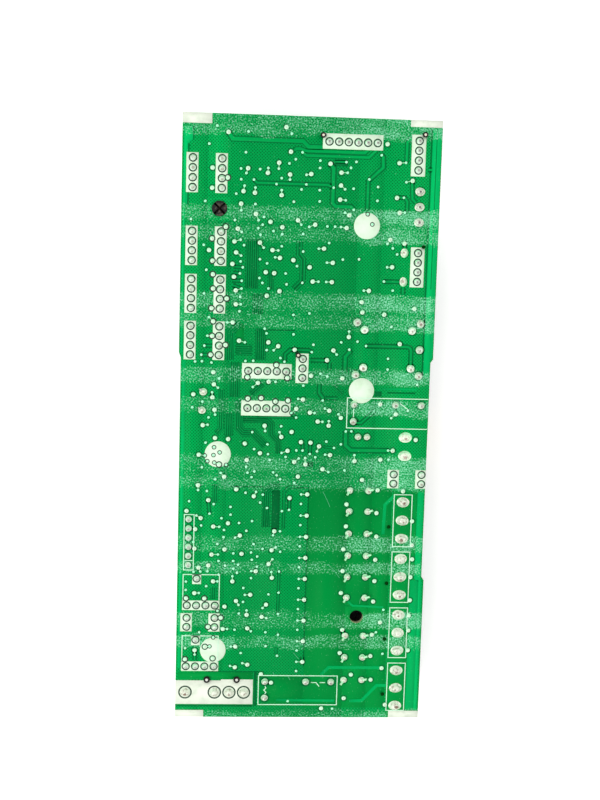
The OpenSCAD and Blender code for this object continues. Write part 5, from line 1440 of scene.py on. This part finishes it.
def main() -> None:
    """Builds the studio, the board's layers, the solder and the finishes, in that order."""
    logging.basicConfig(level=logging.INFO, format="%(name)s %(message)s")
    Studio().build()
    board = Board()
    made = {name: finish.make() for name, finish in finishes().items()}
    joints, copper, drawn = Joints(board), Copper(board), Legend(board)
    places = {node: joints.places(node) for node in (
        "test_pads", "via_fillings", "solder_signal", "solder_power", "solder_leads")}
    pads, vias, signal, power, leads = (centres[:, :2] for centres, _, _ in places.values())
    broad = places["solder_power"][1].max(1) >= WIDE_L
    # The programming strip has no rings, and of the power pins only those of the mains header have them
    program = (signal[:, 0] < -29.0) & (signal[:, 1] < -23.0) & (signal[:, 1] > -40.0)
    mains = (power[:, 1] < -70) & (power[:, 0] < -12) & broad
    bare = [(pads, 0.5, 0.94), (vias, 0.3, 0.56), (leads, 0.8, 1.25), (signal, 0.8, 1.2), (power[~broad], 0.9, 1.4)]
    # Centres, inner and outer radius, layer and points of the rings in which the laminate shows, darkened past its own
    # tone by painted shade
    rings = [(signal[~program], 0.77, 1.12, Level.RING, 28), (power[mains], 1.45, 1.84, Level.RING, 40),
             (pads[drawn.inked(pads, 0.7)], 0.6, 0.9, Level.PAD_RING, 20),
             (vias[drawn.inked(vias, 0.4)], 0.38, 0.62, Level.VIA_RING, 16)]
    layers = {
        "mask_film": (board.film(), "mask_hatched"),
        "copper_planes": (copper.planes(), "mask_plane"),
        "copper_edge_strips": (copper.edge_strips(), "mask_bright"),
        "bare_gaps": (copper.gaps(bare), "mask_gap"),
        "copper_lines": (copper.lines(), "mask_line"),
        "copper_feeds": (copper.feeds(), "mask_feed"),
        "legend_blocks": (drawn.thin(), "ink_thin"),
        "legend_lines": (drawn.strokes(), "ink_stroke"),
        "legend_lands": (drawn.full(), "ink"),
        "flux_scores": (drawn.scores(), "score"),
        "pad_rings": (joined([collar(centre, outer, inner, board.layer(top), segments)
                              for at, inner, outer, top, segments in rings for centre in at]), "ring"),
    }
    for name, (shell, finish) in layers.items():
        make_piece(name, shell, made[finish])
    # The peg pieces are painted shade in and round the peg holes
    for name, shell in peg_pieces(board).items():
        make_piece(name, shell, made["peg_green" if name == "peg_tips" else "peg_dark"])

    # Node that each piece of solder stands for, its finish, the points round a joint, the width and the kind
    for name, node, finish, *shape in (
            ("pin_joints", "solder_signal", "solder", 20),
            ("power_joints", "solder_power", "solder_tall", 28, 0.93, False),
            ("wide_joints", "solder_power", "solder_wide", 28, 0.93, True),
            ("lead_joints", "solder_leads", "solder_leads", 20, 0.98)):
        make_piece(name, joints.shell(node, *shape), made[finish], [node])
    for name, node, finish, profile, segments, wobble in (
            ("pad_drops", "test_pads", "pad", joints.dome(0.59, 0.18), 18, 0.02),
            ("via_drops", "via_fillings", "via", joints.dome(0.38, 0.09, 2), 12, 0.03)):
        drops = turned(places[node][0], profile, segments, wobble=wobble)
        make_piece(name, drops, made[finish], [node])
    make_piece("pad_necks", necks(board, pads, vias), made["pad"])

    for finish, starts in WEARS.items():
        for node in sorted(n for n in frame["nodes"] if n.startswith(starts)):
            for slot in frame["nodes"][node].material_slots:
                slot.material = made[finish]
            LOG.info("%s wears %s", node, made[finish].name)


if __name__ == "__main__":
    main()
